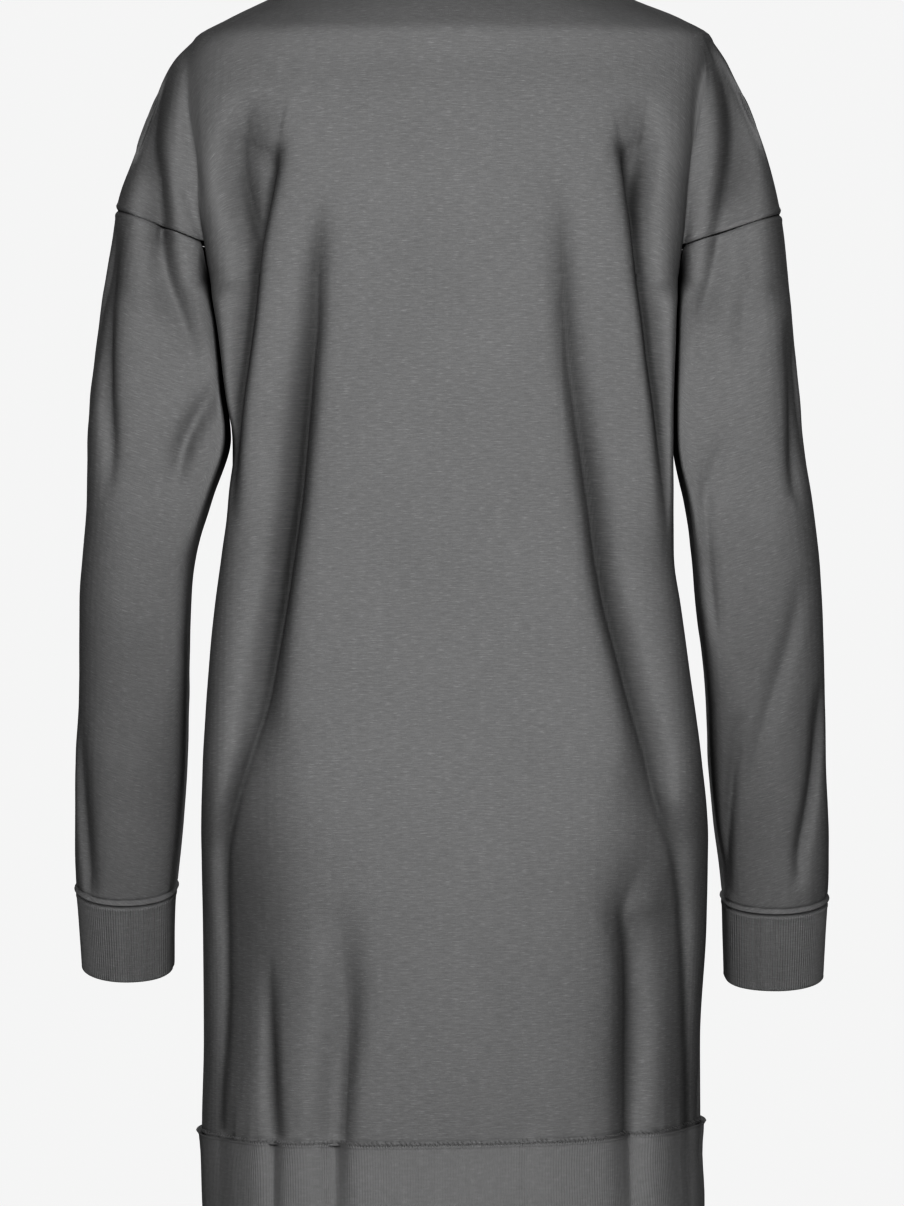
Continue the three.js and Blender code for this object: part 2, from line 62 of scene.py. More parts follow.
TORSO_COLUMNS = ["z", "left", "right", "back", "back_full", "front", "front_full"]
TORSO = [
    (0, 95, 95, 38, 2.2, 42, 2.2),
    (-17, 130.4, 128.8, 53, 2.2, 54, 2.2),
    (-31, 158.8, 162.8, 67, 2.4, 62, 2.2),
    (-45, 182.3, 184, 78, 2.6, 70, 2.4),
    (-60, 189, 183.3, 80, 2.8, 77, 2.5),
    (-88, 192.3, 180.1, 88, 3.1, 89, 2.7),
    (-130, 186.8, 173.9, 94, 3.7, 105, 2.9),
    (-159, 183.3, 167.7, 97, 4.2, 114, 3),
    (-188, 176.3, 163, 98, 4.8, 121, 3),
    (-215, 170.5, 159.4, 98, 5.4, 126, 3),
    (-247, 164.6, 156.8, 97, 6.2, 129, 3),
    (-306, 158.9, 155.6, 96, 6.6, 127, 3),
    (-330, 156.4, 155.4, 95, 6.4, 125, 3),
    (-372, 156.8, 155, 95, 6, 121, 3),
    (-414, 162.8, 156.2, 97, 5.5, 119, 3),
    (-443, 166.6, 160.6, 101, 5.4, 118, 2.9),
    (-486, 171, 166.6, 108, 5.2, 118, 2.8),
    (-557, 175.7, 176.4, 121, 4.6, 119, 2.6),
    (-613, 177.6, 181.2, 129, 3.2, 120, 2.5),
    (-670, 176.8, 180.6, 131, 2.5, 121, 2.4),
    (-755, 176.2, 176.1, 129, 2.4, 121, 2.3),
    (-817, 177.6, 176.4, 126, 2.4, 120, 2.3),
    (-830, 176.2, 175.2, 125, 2.4, 119, 2.3),
    (-869, 175, 177, 126, 2.3, 119, 2.2),
    (-895, 173, 175, 124, 2.3, 117, 2.2),
]
ARM_COLUMNS = ["z", "outer", "inner", "mid_y", "depth", "inner_full"]
ARM = {
    "left": [
        (-45, 182.3, 138, 0, 17, 2),
        (-60, 196.8, 150, 0, 32, 2),
        (-74, 204.7, 154, 0, 40, 2),
        (-88, 210.2, 154, 0, 47, 2),
        (-130, 226, 147, 0, 56, 2.1),
        (-159, 236.5, 161, 0, 60, 2.6),
        (-188, 240.8, 169.5, 0, 61.5, 3.4),
        (-215, 245.7, 170.9, 0, 62, 4.2),
        (-247, 249.9, 165.8, 8, 61, 5),
        (-306, 255.9, 159.9, 17, 57, 5.2),
        (-327, 257, 158.4, 18, 55, 5.3),
        (-372, 257.7, 171.6, 18, 51, 5.4),
        (-414, 261.2, 182.7, 14, 47, 5.6),
        (-443, 264, 185.5, 8, 45, 5.7),
        (-514, 265.9, 188.1, -16, 41, 6),
        (-557, 269.4, 189.8, -30, 39, 6),
        (-599, 270.4, 193.3, -43, 37, 6),
        (-642, 271.1, 198.2, -56, 35.5, 5.7),
        (-664, 269.6, 200.3, -62.5, 34, 5.4),
        (-735, 266.5, 202.4, -84, 29.5, 4.4),
    ],
    "right": [
        (-45, 184, 138, 0, 17, 2),
        (-60, 194, 142, 0, 32, 2),
        (-74, 200.9, 143, 0, 40, 2),
        (-88, 208, 140, 0, 47, 2),
        (-130, 223.7, 137, 0, 56, 2.1),
        (-159, 231, 151, 0, 60, 2.6),
        (-188, 235.9, 158.5, 0, 61.5, 3.4),
        (-215, 238.4, 160.2, 0, 62, 4.2),
        (-247, 240.9, 158.2, 8, 61, 5),
        (-306, 246.4, 156.6, 17, 57, 5.2),
        (-330, 248.3, 157.2, 18, 54.5, 5.3),
        (-372, 254.5, 165.5, 18, 51, 5.4),
        (-414, 259.9, 170.8, 14, 47, 5.6),
        (-443, 262, 173.5, 8, 45, 5.7),
        (-514, 265.8, 182, -15, 42, 6),
        (-557, 267.4, 184, -28, 40, 6),
        (-599, 270, 188, -40, 38, 6),
        (-642, 270.9, 193.7, -52, 36, 5.7),
        (-668, 269.8, 195.6, -59, 34.5, 5.4),
        (-740, 267.5, 198, -79, 30, 4.3),
    ],
}
SLEEVE = {
    "left": dict(armhole=-166.0, fall=0.36, cuff=-652.0, end=-709.0, lean=0.3),
    "right": dict(armhole=-169.0, fall=0.31, cuff=-659.0, end=-716.0, lean=0.26),
}

# ---------------------------------------------------------------- folds
# Each fold is a trough along its rows: x, z, half width towards the middle, half width away from it, depth, and how
# sharp its bottom is, from 0 (round) to 1 (creased). A negative depth is a ridge.
BACK_TORSO_FOLDS = {
    "armhole_crease_left": [
        (186, -71, 3, 3, 1, 1),
        (186, -92, 3, 3, 3, 1),
        (184, -120, 3, 3, 4, 1),
        (178, -148, 3, 3, 3, 1),
        (175, -171, 3, 3, 1, 1),
        (173, -180, 3, 3, 0, 1),
    ],
    "blade_left": [
        (139, -87, 18, 12, 0, 0),
        (140, -100, 18, 11, 8, 0.2),
        (142, -114, 18, 11, 17, 0.3),
        (147, -131, 18, 12, 25, 0.4),
        (146, -147, 14, 11, 27, 0.5),
        (143, -164, 9, 10, 24, 0.6),
        (142, -180, 6, 10, 14, 0.5),
        (141, -194, 5, 9, 4, 0.4),
    ],
    "back_crease_left": [
        (121, -122, 6, 16, 4.4, 0.6),
        (123, -139, 6, 16, 17.6, 0.7),
        (125, -153, 6, 16, 22, 0.7),
        (127, -166, 5, 16, 25.3, 0.8),
        (129, -180, 5, 16, 26.4, 0.8),
        (132, -194, 5, 16, 27.5, 0.8),
        (134, -209, 5, 7, 24, 0.8),
        (135, -222, 5, 6, 22, 0.8),
        (138, -249, 5, 6, 20, 0.8),
        (142, -277, 5, 6, 19, 0.8),
        (146, -304, 5, 6, 19, 0.8),
        (149, -339, 5, 5, 17, 0.8),
        (152, -366, 5, 5, 10, 0.7),
        (154, -394, 5, 5, 1, 0.5),
    ],
    "main_left": [
        (91, -163, 9, 8, 2, 0.4),
        (92, -194, 9, 7, 10, 0.6),
        (94, -222, 9, 6, 15, 0.7),
        (94, -249, 9, 5, 20, 0.8),
        (97, -277, 9, 5, 24, 0.8),
        (99, -304, 9, 5, 27, 0.8),
        (102, -339, 9, 5, 30, 0.8),
        (105, -373, 9, 5, 31, 0.8),
        (110, -407, 9, 5, 32, 0.8),
        (115, -442, 9, 6, 32, 0.8),
        (121, -476, 11, 7, 32, 0.8),
        (127, -511, 14, 9, 31, 0.8),
        (138, -545, 22, 10, 32, 0.8),
        (149, -580, 30, 9, 34, 0.8),
        (156, -614, 36, 13, 36, 0.8),
        (157, -649, 36, 13, 36, 0.8),
        (156, -683, 34, 19, 35, 0.8),
        (156, -717, 32, 19, 33, 0.8),
        (157, -752, 28, 19, 27, 0.8),
        (160, -786, 24, 19, 20, 0.8),
        (161, -810, 22, 19, 15, 0.8),
    ],
    "skirt_left": [
        (80, -645, 14, 15, 1, 0),
        (76, -676, 13, 13, 8, 0.1),
        (73, -707, 13, 12, 14, 0.2),
        (73, -738, 12, 12, 17, 0.2),
        (76, -773, 11, 12, 19, 0.2),
        (79, -810, 11, 12, 16, 0.2),
    ],
    "thin_left": [
        (127, -690, 4, 7, 1, 0.5),
        (126, -717, 4, 7, 7, 0.5),
        (124, -752, 4, 7, 10, 0.5),
        (123, -786, 5, 7, 12, 0.5),
        (122, -810, 5, 7, 9, 0.5),
    ],
    "armhole_crease_right": [
        (-177, -64, 3, 3, 1, 1),
        (-172, -89, 3, 3, 3, 1),
        (-169, -120, 3, 3, 4, 1),
        (-166, -147, 3, 3, 3, 1),
        (-163, -171, 3, 3, 1, 1),
        (-162, -180, 3, 3, 0, 1),
    ],
    "blade_right": [
        (-134, -87, 16, 10, 0, 0),
        (-134, -100, 16, 10, 6, 0.2),
        (-133, -115, 15, 9, 12, 0.3),
        (-132, -132, 13, 8, 15, 0.4),
        (-131, -150, 10, 7, 14, 0.5),
        (-130, -166, 8, 6, 10, 0.5),
        (-131, -182, 6, 6, 4, 0.4),
    ],
    "back_crease_right": [
        (-117, -120, 5, 10, 4, 0.6),
        (-120, -135, 5, 10, 17, 0.7),
        (-122, -150, 5, 9, 21, 0.8),
        (-123, -166, 5, 9, 24, 0.8),
        (-126, -194, 5, 7, 22, 0.8),
        (-129, -222, 5, 6, 20, 0.8),
        (-133, -249, 5, 6, 20, 0.8),
        (-136, -277, 5, 6, 19, 0.8),
        (-140, -304, 5, 6, 18, 0.8),
        (-144, -339, 5, 5, 14, 0.8),
        (-148, -373, 5, 5, 9, 0.7),
        (-151, -407, 5, 5, 2, 0.5),
    ],
    "main_right": [
        (-74, -139, 10, 10, 1, 0.3),
        (-75, -166, 9, 9, 5, 0.4),
        (-76, -194, 9, 8, 9, 0.5),
        (-77, -222, 9, 7, 12, 0.6),
        (-79, -249, 9, 6, 13, 0.7),
        (-81, -277, 9, 6, 15, 0.7),
        (-85, -304, 9, 6, 17, 0.7),
        (-90, -339, 9, 5, 20, 0.8),
        (-95, -373, 9, 5, 22, 0.8),
        (-99, -407, 9, 5, 23, 0.8),
        (-105, -442, 9, 5, 25, 0.8),
        (-114, -476, 9, 6, 25, 0.8),
        (-123, -511, 10, 7, 26, 0.8),
        (-133, -545, 14, 8, 26, 0.8),
        (-140, -580, 22, 8, 28, 0.8),
        (-153, -614, 30, 13, 25.2, 0.8),
        (-158, -649, 30, 12, 26.1, 0.8),
        (-161, -683, 28, 12, 25.2, 0.8),
        (-163, -717, 24, 12, 24.3, 0.8),
        (-164, -752, 22, 12, 22.5, 0.8),
        (-165, -786, 20, 12, 19.8, 0.8),
        (-165, -810, 18, 12, 15.3, 0.8),
    ],
    "skirt_right": [
        (-136, -614, 14, 17, 1.2, 0.2),
        (-125, -635, 12, 15, 5.4, 0.4),
        (-114, -655, 11, 15, 9, 0.6),
        (-120, -683, 10, 13, 20, 0.7),
        (-121, -717, 10, 13, 24, 0.8),
        (-121, -745, 11, 12, 25, 0.8),
        (-121, -773, 12, 11, 24, 0.8),
        (-121, -793, 12, 11, 21, 0.8),
        (-121, -810, 11, 11, 17, 0.8),
    ],
    "skirt_middle": [
        (-37, -690, 10, 10, 0.5, 0),
        (-40, -717, 9, 9, 2.5, 0),
        (-45, -759, 9, 9, 2.5, 0),
        (-51, -804, 8, 8, 2, 0),
    ],
}
BACK_ARM_FOLDS = {
    "upper_left": [
        (201, -68, 5.4, 18, 10, 0.6),
        (201, -92, 5.4, 18, 20, 0.6),
        (202, -120, 4.5, 18, 30, 0.6),
        (197, -148, 4.5, 16, 28, 0.6),
        (196, -173, 5.4, 16, 26, 0.6),
        (197, -190, 6.3, 16, 22, 0.6),
        (195, -211, 7.2, 16, 18, 0.6),
        (189, -232, 7.2, 14, 14, 0.6),
        (184, -257, 7.2, 14, 8, 0.6),
        (179, -271, 7.2, 14, 2, 0.6),
    ],
    "slit_left": [
        (191, -126, 3, 3, 1, 0.5),
        (189, -142, 3, 3, 3, 0.6),
        (186, -157, 3, 3, 4, 0.7),
        (182, -170, 3, 3, 2, 0.7),
    ],
    "cap_left": [
        (212, -154, 8, 9.6, 2, 0.2),
        (209, -170, 8, 9.6, 6, 0.2),
        (206, -184, 8, 9.6, 6, 0.2),
    ],
    "outer_left": [
        (238, -186, 4, 8, 4.5, 0.4),
        (239, -204, 5, 8, 10.5, 0.5),
        (239, -231, 5, 8, 13.5, 0.5),
        (239, -259, 5, 8, 15, 0.5),
        (238, -287, 5, 8, 15, 0.5),
        (238, -315, 5, 8, 12, 0.5),
        (238, -343, 5, 8, 6, 0.4),
        (242, -365, 6, 8, 1.5, 0.3),
    ],
    "elbow_left": [
        (163, -289, 8, 7.2, 2, 0.3),
        (170, -300, 8, 7.2, 8, 0.4),
        (176, -314, 8, 7.2, 12, 0.5),
        (182, -328, 7, 7.2, 14, 0.5),
        (188, -342, 7, 7.2, 12, 0.5),
        (193, -357, 7, 7.2, 4, 0.4),
    ],
    "forearm_left": [
        (265, -527, 6, 4, 1.3, 0.3),
        (265, -555, 6, 4, 5.2, 0.5),
        (264, -584, 6, 4, 9.1, 0.5),
        (262, -612, 6, 4, 9.1, 0.5),
        (261, -634, 6, 4, 7.8, 0.5),
        (260, -650, 6, 4, 3.9, 0.4),
    ],
    "upper_right": [
        (-185, -64, 5.4, 16, 10, 0.6),
        (-189, -92, 5.4, 18, 24, 0.6),
        (-189, -120, 5.4, 18, 28, 0.6),
        (-185, -148, 5.4, 16, 30, 0.6),
        (-183, -173, 6.3, 14, 16, 0.6),
        (-182, -194, 7.2, 16, 14, 0.6),
        (-180, -211, 7.2, 16, 12, 0.6),
        (-176, -232, 6.3, 14, 8, 0.6),
        (-173, -250, 6.3, 14, 2, 0.6),
    ],
    "cap_right": [
        (-198, -80, 12, 12, 2, 0.2),
        (-201, -98, 12, 14, 9, 0.2),
        (-202, -119, 13, 14, 12, 0.2),
        (-203, -147, 14, 14, 10, 0.2),
        (-205, -175, 14, 14, 9, 0.2),
        (-209, -204, 13, 12, 7, 0.2),
        (-210, -225, 11, 10, 2, 0.2),
    ],
    "outer_cap_right": [
        (-207, -221, 8, 9.6, 2, 0.2),
        (-205, -239, 8, 9.6, 8, 0.3),
        (-202, -256, 8, 9.6, 4, 0.2),
    ],
    "outer_right": [
        (-238, -249, 5, 8, 3, 0.4),
        (-238, -266, 5, 8, 10.5, 0.5),
        (-238, -287, 5, 8, 13.5, 0.5),
        (-237, -315, 5, 8, 15, 0.5),
        (-238, -343, 5, 8, 12, 0.5),
        (-241, -365, 5, 8, 4.5, 0.4),
    ],
    "elbow_right": [
        (-176, -360, 5, 5, 2, 0.4),
        (-177, -378, 6, 5, 4, 0.4),
        (-178, -399, 6, 5, 5, 0.4),
        (-180, -428, 6, 5, 6, 0.5),
        (-184, -453, 5, 5, 5, 0.5),
        (-186, -470, 5, 5, 1, 0.4),
    ],
    "forearm_right_1": [
        (-244, -431, 7, 7, 1, 0.3),
        (-241, -456, 7, 6, 4, 0.4),
        (-234, -484, 7, 6, 5, 0.4),
        (-226, -513, 7, 6, 5, 0.4),
        (-218, -541, 7, 6, 4, 0.4),
        (-212, -570, 7, 6, 3, 0.3),
        (-209, -587, 7, 6, 1, 0.3),
    ],
    "forearm_right_2": [
        (-262, -506, 5, 4, 2.6, 0.4),
        (-260, -538, 5, 4, 10.4, 0.5),
        (-257, -570, 5, 4, 10.4, 0.5),
        (-252, -598, 5, 5, 10.4, 0.5),
        (-248, -619, 5, 5, 9.1, 0.5),
        (-248, -641, 5, 5, 3.9, 0.4),
    ],
    "forearm_right_3": [
        (-202, -531, 6, 6, 2, 0.4),
        (-200, -555, 6, 5, 5, 0.5),
        (-198, -577, 5, 4, 7, 0.5),
        (-196, -605, 5, 4, 7, 0.5),
        (-195, -626, 5, 4, 7, 0.5),
        (-196, -648, 5, 4, 4, 0.4),
    ],
    "elbow_low_right": [
        (-193, -328, 7, 7, 1, 0.2),
        (-185, -342, 7, 7, 4, 0.3),
        (-179, -365, 7, 7, 4, 0.3),
        (-176, -374, 7, 7, 1, 0.2),
    ],
}
# The same on the front, which hangs the same way: a fold under each arm, one down each side, and soft ones below.
FRONT_TORSO_FOLDS = {
    "armhole_crease_left": [(187, -74, 3, 3, 2, 1), (186, -100, 3, 3, 5, 1), (183, -131, 3, 3, 6, 1), (180, -167, 3, 3, 6, 1), (176, -186, 3, 3, 3, 1)],
    "armhole_crease_right": [(-178, -70, 3, 3, 2, 1), (-173, -96, 3, 3, 5, 1), (-171, -124, 3, 3, 6, 1), (-167, -155, 3, 3, 6, 1), (-163, -184, 3, 3, 3, 1)],
    "underarm_left": [(150, -118, 4, 10, 2, 0.5), (140, -150, 4, 12, 8, 0.7), (134, -190, 5, 10, 10, 0.7), (136, -240, 6, 8, 8, 0.6), (142, -300, 6, 7, 6, 0.5), (148, -352, 6, 6, 3, 0.4)],
    "underarm_right": [(-142, -110, 4, 10, 2, 0.5), (-131, -145, 4, 11, 8, 0.7), (-127, -192, 5, 9, 10, 0.7), (-131, -246, 6, 8, 8, 0.6), (-137, -312, 6, 7, 6, 0.5), (-146, -360, 6, 6, 3, 0.4)],
    "chest_left": [(96, -262, 11, 9, 1, 0.3), (95, -320, 10, 8, 5, 0.5), (97, -380, 10, 8, 9, 0.6), (103, -440, 9, 8, 11, 0.6), (110, -500, 9, 8, 12, 0.6), (120, -560, 11, 10, 11, 0.5), (131, -620, 14, 11, 9, 0.4), (141, -690, 16, 12, 6, 0.3), (145, -790, 14, 12, 3, 0.3)],
    "chest_right": [(-90, -250, 11, 9, 1, 0.3), (-91, -312, 10, 8, 6, 0.5), (-95, -372, 10, 8, 10, 0.6), (-99, -430, 9, 8, 12, 0.6), (-108, -496, 9, 8, 12, 0.6), (-117, -552, 11, 10, 12, 0.5), (-127, -612, 13, 11, 10, 0.4), (-138, -676, 16, 12, 7, 0.3), (-143, -780, 14, 12, 4, 0.3)],
    "skirt_left": [(66, -640, 12, 12, 1, 0), (62, -690, 12, 12, 5, 0.2), (58, -745, 11, 11, 7, 0.3), (63, -812, 9, 9, 6, 0.4)],
    "skirt_right": [(-98, -630, 12, 10, 2, 0.2), (-92, -690, 11, 9, 6, 0.3), (-88, -750, 10, 9, 8, 0.4), (-90, -812, 9, 9, 6, 0.4)],
    "thin_right": [(-38, -720, 5, 5, 1, 0.3), (-42, -770, 5, 5, 3, 0.4), (-43, -812, 5, 5, 3, 0.4)],
}
FRONT_ARM_FOLDS = {
    "upper_left": [(203, -80, 5, 6, 3, 0.4), (201, -112, 5, 6, 8, 0.5), (198, -148, 5, 6, 9, 0.5), (195, -180, 5, 6, 5, 0.4)],
    "under_left": [(207, -196, 8, 8, 4, 0.3), (198, -222, 8, 8, 6, 0.4), (190, -255, 7, 7, 3, 0.3)],
    "outer_left": [(238, -210, 5, 5, 2, 0.4), (240, -262, 5, 5, 5, 0.5), (243, -320, 5, 5, 5, 0.5), (246, -372, 5, 5, 2, 0.4)],
    "elbow_left": [(168, -300, 7, 6, 2, 0.3), (186, -322, 7, 6, 7, 0.5), (206, -338, 7, 6, 8, 0.5), (228, -347, 6, 6, 4, 0.4), (240, -349, 6, 6, 1, 0.3)],
    "elbow_left_2": [(182, -372, 6, 6, 2, 0.3), (203, -382, 6, 6, 5, 0.4), (222, -385, 6, 6, 2, 0.3)],
    "forearm_left": [(230, -470, 6, 6, 1, 0.3), (224, -530, 7, 6, 4, 0.4), (226, -590, 7, 6, 4, 0.4), (229, -636, 6, 6, 2, 0.3)],
    "upper_right": [(-190, -76, 6, 5, 3, 0.4), (-191, -108, 6, 5, 9, 0.5), (-188, -146, 6, 5, 9, 0.5), (-185, -178, 6, 5, 4, 0.4)],
    "under_right": [(-190, -192, 8, 8, 4, 0.3), (-192, -220, 8, 8, 5, 0.3), (-181, -252, 7, 7, 3, 0.3)],
    "outer_right": [(-234, -240, 5, 5, 1, 0.4), (-238, -292, 5, 5, 5, 0.5), (-243, -350, 5, 5, 5, 0.5), (-246, -402, 5, 5, 2, 0.4)],
    "elbow_right": [(-166, -310, 7, 6, 2, 0.3), (-183, -334, 7, 6, 6, 0.5), (-203, -352, 7, 6, 8, 0.5), (-224, -358, 6, 6, 4, 0.4)],
    "elbow_right_2": [(-178, -384, 6, 6, 2, 0.3), (-198, -396, 6, 6, 5, 0.4), (-218, -398, 6, 6, 2, 0.3)],
    "forearm_right": [(-236, -440, 6, 6, 1, 0.3), (-226, -500, 7, 6, 4, 0.4), (-222, -566, 7, 6, 4, 0.4), (-224, -630, 6, 6, 2, 0.3)],
}

# ---------------------------------------------------------------- curves through the tables
Z = np.arange(-940.0, 10.01, 0.5)


def smooth(t):
    t = np.clip(t, 0.0, 1.0)
    return t * t * (3 - 2 * t)


def mix(a, b, t):
    return a + (b - a) * t


def curve(rows, names, name):
    """A column of a table at every height of Z, on a smooth curve that doesn't overshoot its rows."""
    a = np.array(rows, float)[::-1]
    z, v = a[:, 0], a[:, names.index(name)]
    h = np.diff(z)
    d = np.diff(v) / h
    m = np.empty_like(v)
    m[0], m[-1] = d[0], d[-1]
    for k in range(1, len(v) - 1):
        if d[k - 1] * d[k] <= 0:
            m[k] = 0
        else:
            wa, wb = 2 * h[k] + h[k - 1], h[k] + 2 * h[k - 1]
            m[k] = (wa + wb) / (wa / d[k - 1] + wb / d[k])
    q = np.clip(Z, z[0], z[-1])
    i = np.clip(np.searchsorted(z, q, side="right") - 1, 0, len(h) - 1)
    t = (q - z[i]) / h[i]
    out = (
        (2 * t**3 - 3 * t**2 + 1) * v[i]
        + (t**3 - 2 * t**2 + t) * h[i] * m[i]
        + (3 * t**2 - 2 * t**3) * v[i + 1]
        + (t**3 - t**2) * h[i] * m[i + 1]
    )
    k = np.exp(-((np.arange(-40, 41) * 0.5 / 6.0) ** 2))
    soft = np.convolve(np.pad(out, 40, mode="edge"), k / k.sum(), mode="valid")
    return mix(out, soft, smooth((-62 - Z) / 30) * smooth((Z + 925) / 20))


def at(values, z):
    return np.interp(z, Z, values)


FACES = ("back", "front")
SIDES = ("left", "right")
SIGN = {"left": 1.0, "right": -1.0}
torso = {c: curve(TORSO, TORSO_COLUMNS, c) for c in TORSO_COLUMNS[1:]}
arms = {}
for side in SIDES:
    top = ARM[side][0][0]
    c = {n: curve(ARM[side], ARM_COLUMNS, n) for n in ARM_COLUMNS[1:]}
    x, r = (c["outer"] + c["inner"]) / 2, (c["outer"] - c["inner"]) / 2
    over = Z > top
    w = torso[side]
    arms[side] = {
        "x": np.where(over, w - 22, x),
        "r": np.where(over, 22, r),
        "y": np.where(over, 0, c["mid_y"]),
        "depth": np.where(over, np.maximum(17 * Z / top, 0), c["depth"]),
        "outer": np.where(over, w, c["outer"]),
        "full": np.where(over, 2, c["inner_full"]),
    }


def pressed(z):
    """Where sleeve and body press on each other, their corners are squarer than the solid's."""
    return smooth((UNDERARM_Z - 1 - z) / 26) * smooth((z + 420) / 90)


def torso_y(side, face, x, z):
    r = np.clip(x / at(torso[side], z), 0, 1)
    full = at(torso[face + "_full"], z) * (1 + 1.6 * pressed(z))
    return at(torso[face], z) * np.maximum(0, 1 - r**full) ** (1 / full)


def arm(side, z):
    return {"z": z, **{k: at(v, z) for k, v in arms[side].items()}}


def arm_section(a, u):
    """Share of an arm's depth at u, -1 at its inner line and 1 at its outer."""
    n = np.where(u < 0, a["full"] * (1 + 5 * pressed(a["z"])), 2 + 0.7 * pressed(a["z"]))
    return np.maximum(0, 1 - np.minimum(np.abs(u), 1) ** n) ** (1 / n)


def arm_y(side, x, z):
    a = arm(side, z)
    return a["depth"] * arm_section(a, (x - a["x"]) / a["r"])


def fold_line(side, face):
    a, w = arms[side], torso[side]
    most = np.minimum(0.94 * a["outer"], w)
    lo, hi = np.maximum(a["x"] - a["r"], 0.6 * a["outer"]), most.copy()
    none = arm_y(side, hi, Z) - torso_y(side, face, hi, Z) <= 0
    for _ in range(40):
        m = (lo + hi) / 2
        ahead = arm_y(side, m, Z) - torso_y(side, face, m, Z) > 0
        hi = np.where(ahead, m, hi)
        lo = np.where(ahead, lo, m)
    return np.where(none | (Z <= UNDERARM_Z), most, hi)


FOLD_LINE = {(s, f): fold_line(s, f) for s in SIDES for f in FACES}


def body_y(side, face, x, z, soft=5.0):
    t = torso_y(side, face, x, z)
    a = np.where(z > UNDERARM_Z, arm_y(side, x, z), 0)
    near = np.maximum(soft - np.abs(t - a), 0)
    both = np.clip(np.minimum(t, a) / (2 * soft), 0, 1)
    return np.maximum(t, a) + both * near**2 / (4 * soft)


def armhole_z(side, z, x):
    return SLEEVE[side]["armhole"] - SLEEVE[side]["fall"] * (arm(side, z)["outer"] - x)


def pit_top(side, face):
    z = -190.0
    for _ in range(12):
        z = float(armhole_z(side, z, at(FOLD_LINE[side, face], z)))
    return z


PIT_TOP = {(s, f): pit_top(s, f) for s in SIDES for f in FACES}


def fold_angle(side, face, z):
    a = arm(side, z)
    r = (at(FOLD_LINE[side, face], z) - a["x"]) / a["r"]
    return np.degrees(np.arccos(np.clip(r, -1, 1)))


def armhole_at(side, face, angle):
    """Height of the armhole seam at an angle round the arm, 0 outer and 180 inner."""
    top = PIT_TOP[side, face]
    a = arm(side, top)
    x = a["x"] + a["r"] * np.cos(np.radians(angle))
    over = mix(SLEEVE[side]["armhole"], armhole_z(side, top, x), smooth(angle / 30))
    z = np.linspace(UNDERARM_Z, top, 200)
    g = np.maximum.accumulate(fold_angle(side, face, z)[::-1])
    under = np.interp(angle, g, z[::-1])
    return np.where(angle <= fold_angle(side, face, top), over, under)


def neckline(face, s):
    a = np.pi / 2 * s
    drop = BACK_NECK_DROP * np.cos(a) ** 1.6 if face == "back" else FRONT_NECK_DROP * np.cos(a) ** 1.7
    return NECK_HALF_WIDTH * np.sin(a), -drop


# ---------------------------------------------------------------- relief
def noise(u, v, seed):
    """Smooth random relief from -1 to 1, one cell per unit."""
    g = np.random.RandomState(seed).uniform(-1, 1, (64, 64))
    iu, iv = np.floor(u).astype(int), np.floor(v).astype(int)
    fu, fv = u - iu, v - iv
    fu, fv = fu * fu * (3 - 2 * fu), fv * fv * (3 - 2 * fv)
    a, b = g[iu % 64, iv % 64], g[(iu + 1) % 64, iv % 64]
    c, d = g[iu % 64, (iv + 1) % 64], g[(iu + 1) % 64, (iv + 1) % 64]
    return mix(mix(a, b, fu), mix(c, d, fu), fv)


def resampled(rows, step=6.0):
    """The rows of a fold, with smooth ones between them."""
    a = np.array(rows, float)
    d = np.r_[0, np.cumsum(np.hypot(np.diff(a[:, 0]), np.diff(a[:, 1])))]
    q = np.linspace(0, d[-1], max(3, int(d[-1] / step)))
    out = np.stack([np.interp(q, d, a[:, k]) for k in range(6)], 1)
    for _ in range(3):
        out[1:-1] = (out[:-2] + 2 * out[1:-1] + out[2:]) / 4
    tuck = lean(out[:, 4], out[:, 2])
    out[:, 0] += np.sign(out[:, 0]) * tuck * out[:, 4]
    return np.concatenate([out, tuck[:, None]], 1)


def lean(depth, width):
    """How far a deep, narrow fold's bottom is tucked in under its inner wall, as a share of its depth."""
    return 0.3 * smooth((depth - 5) / 12) * (1 - smooth((width - 14) / 10))


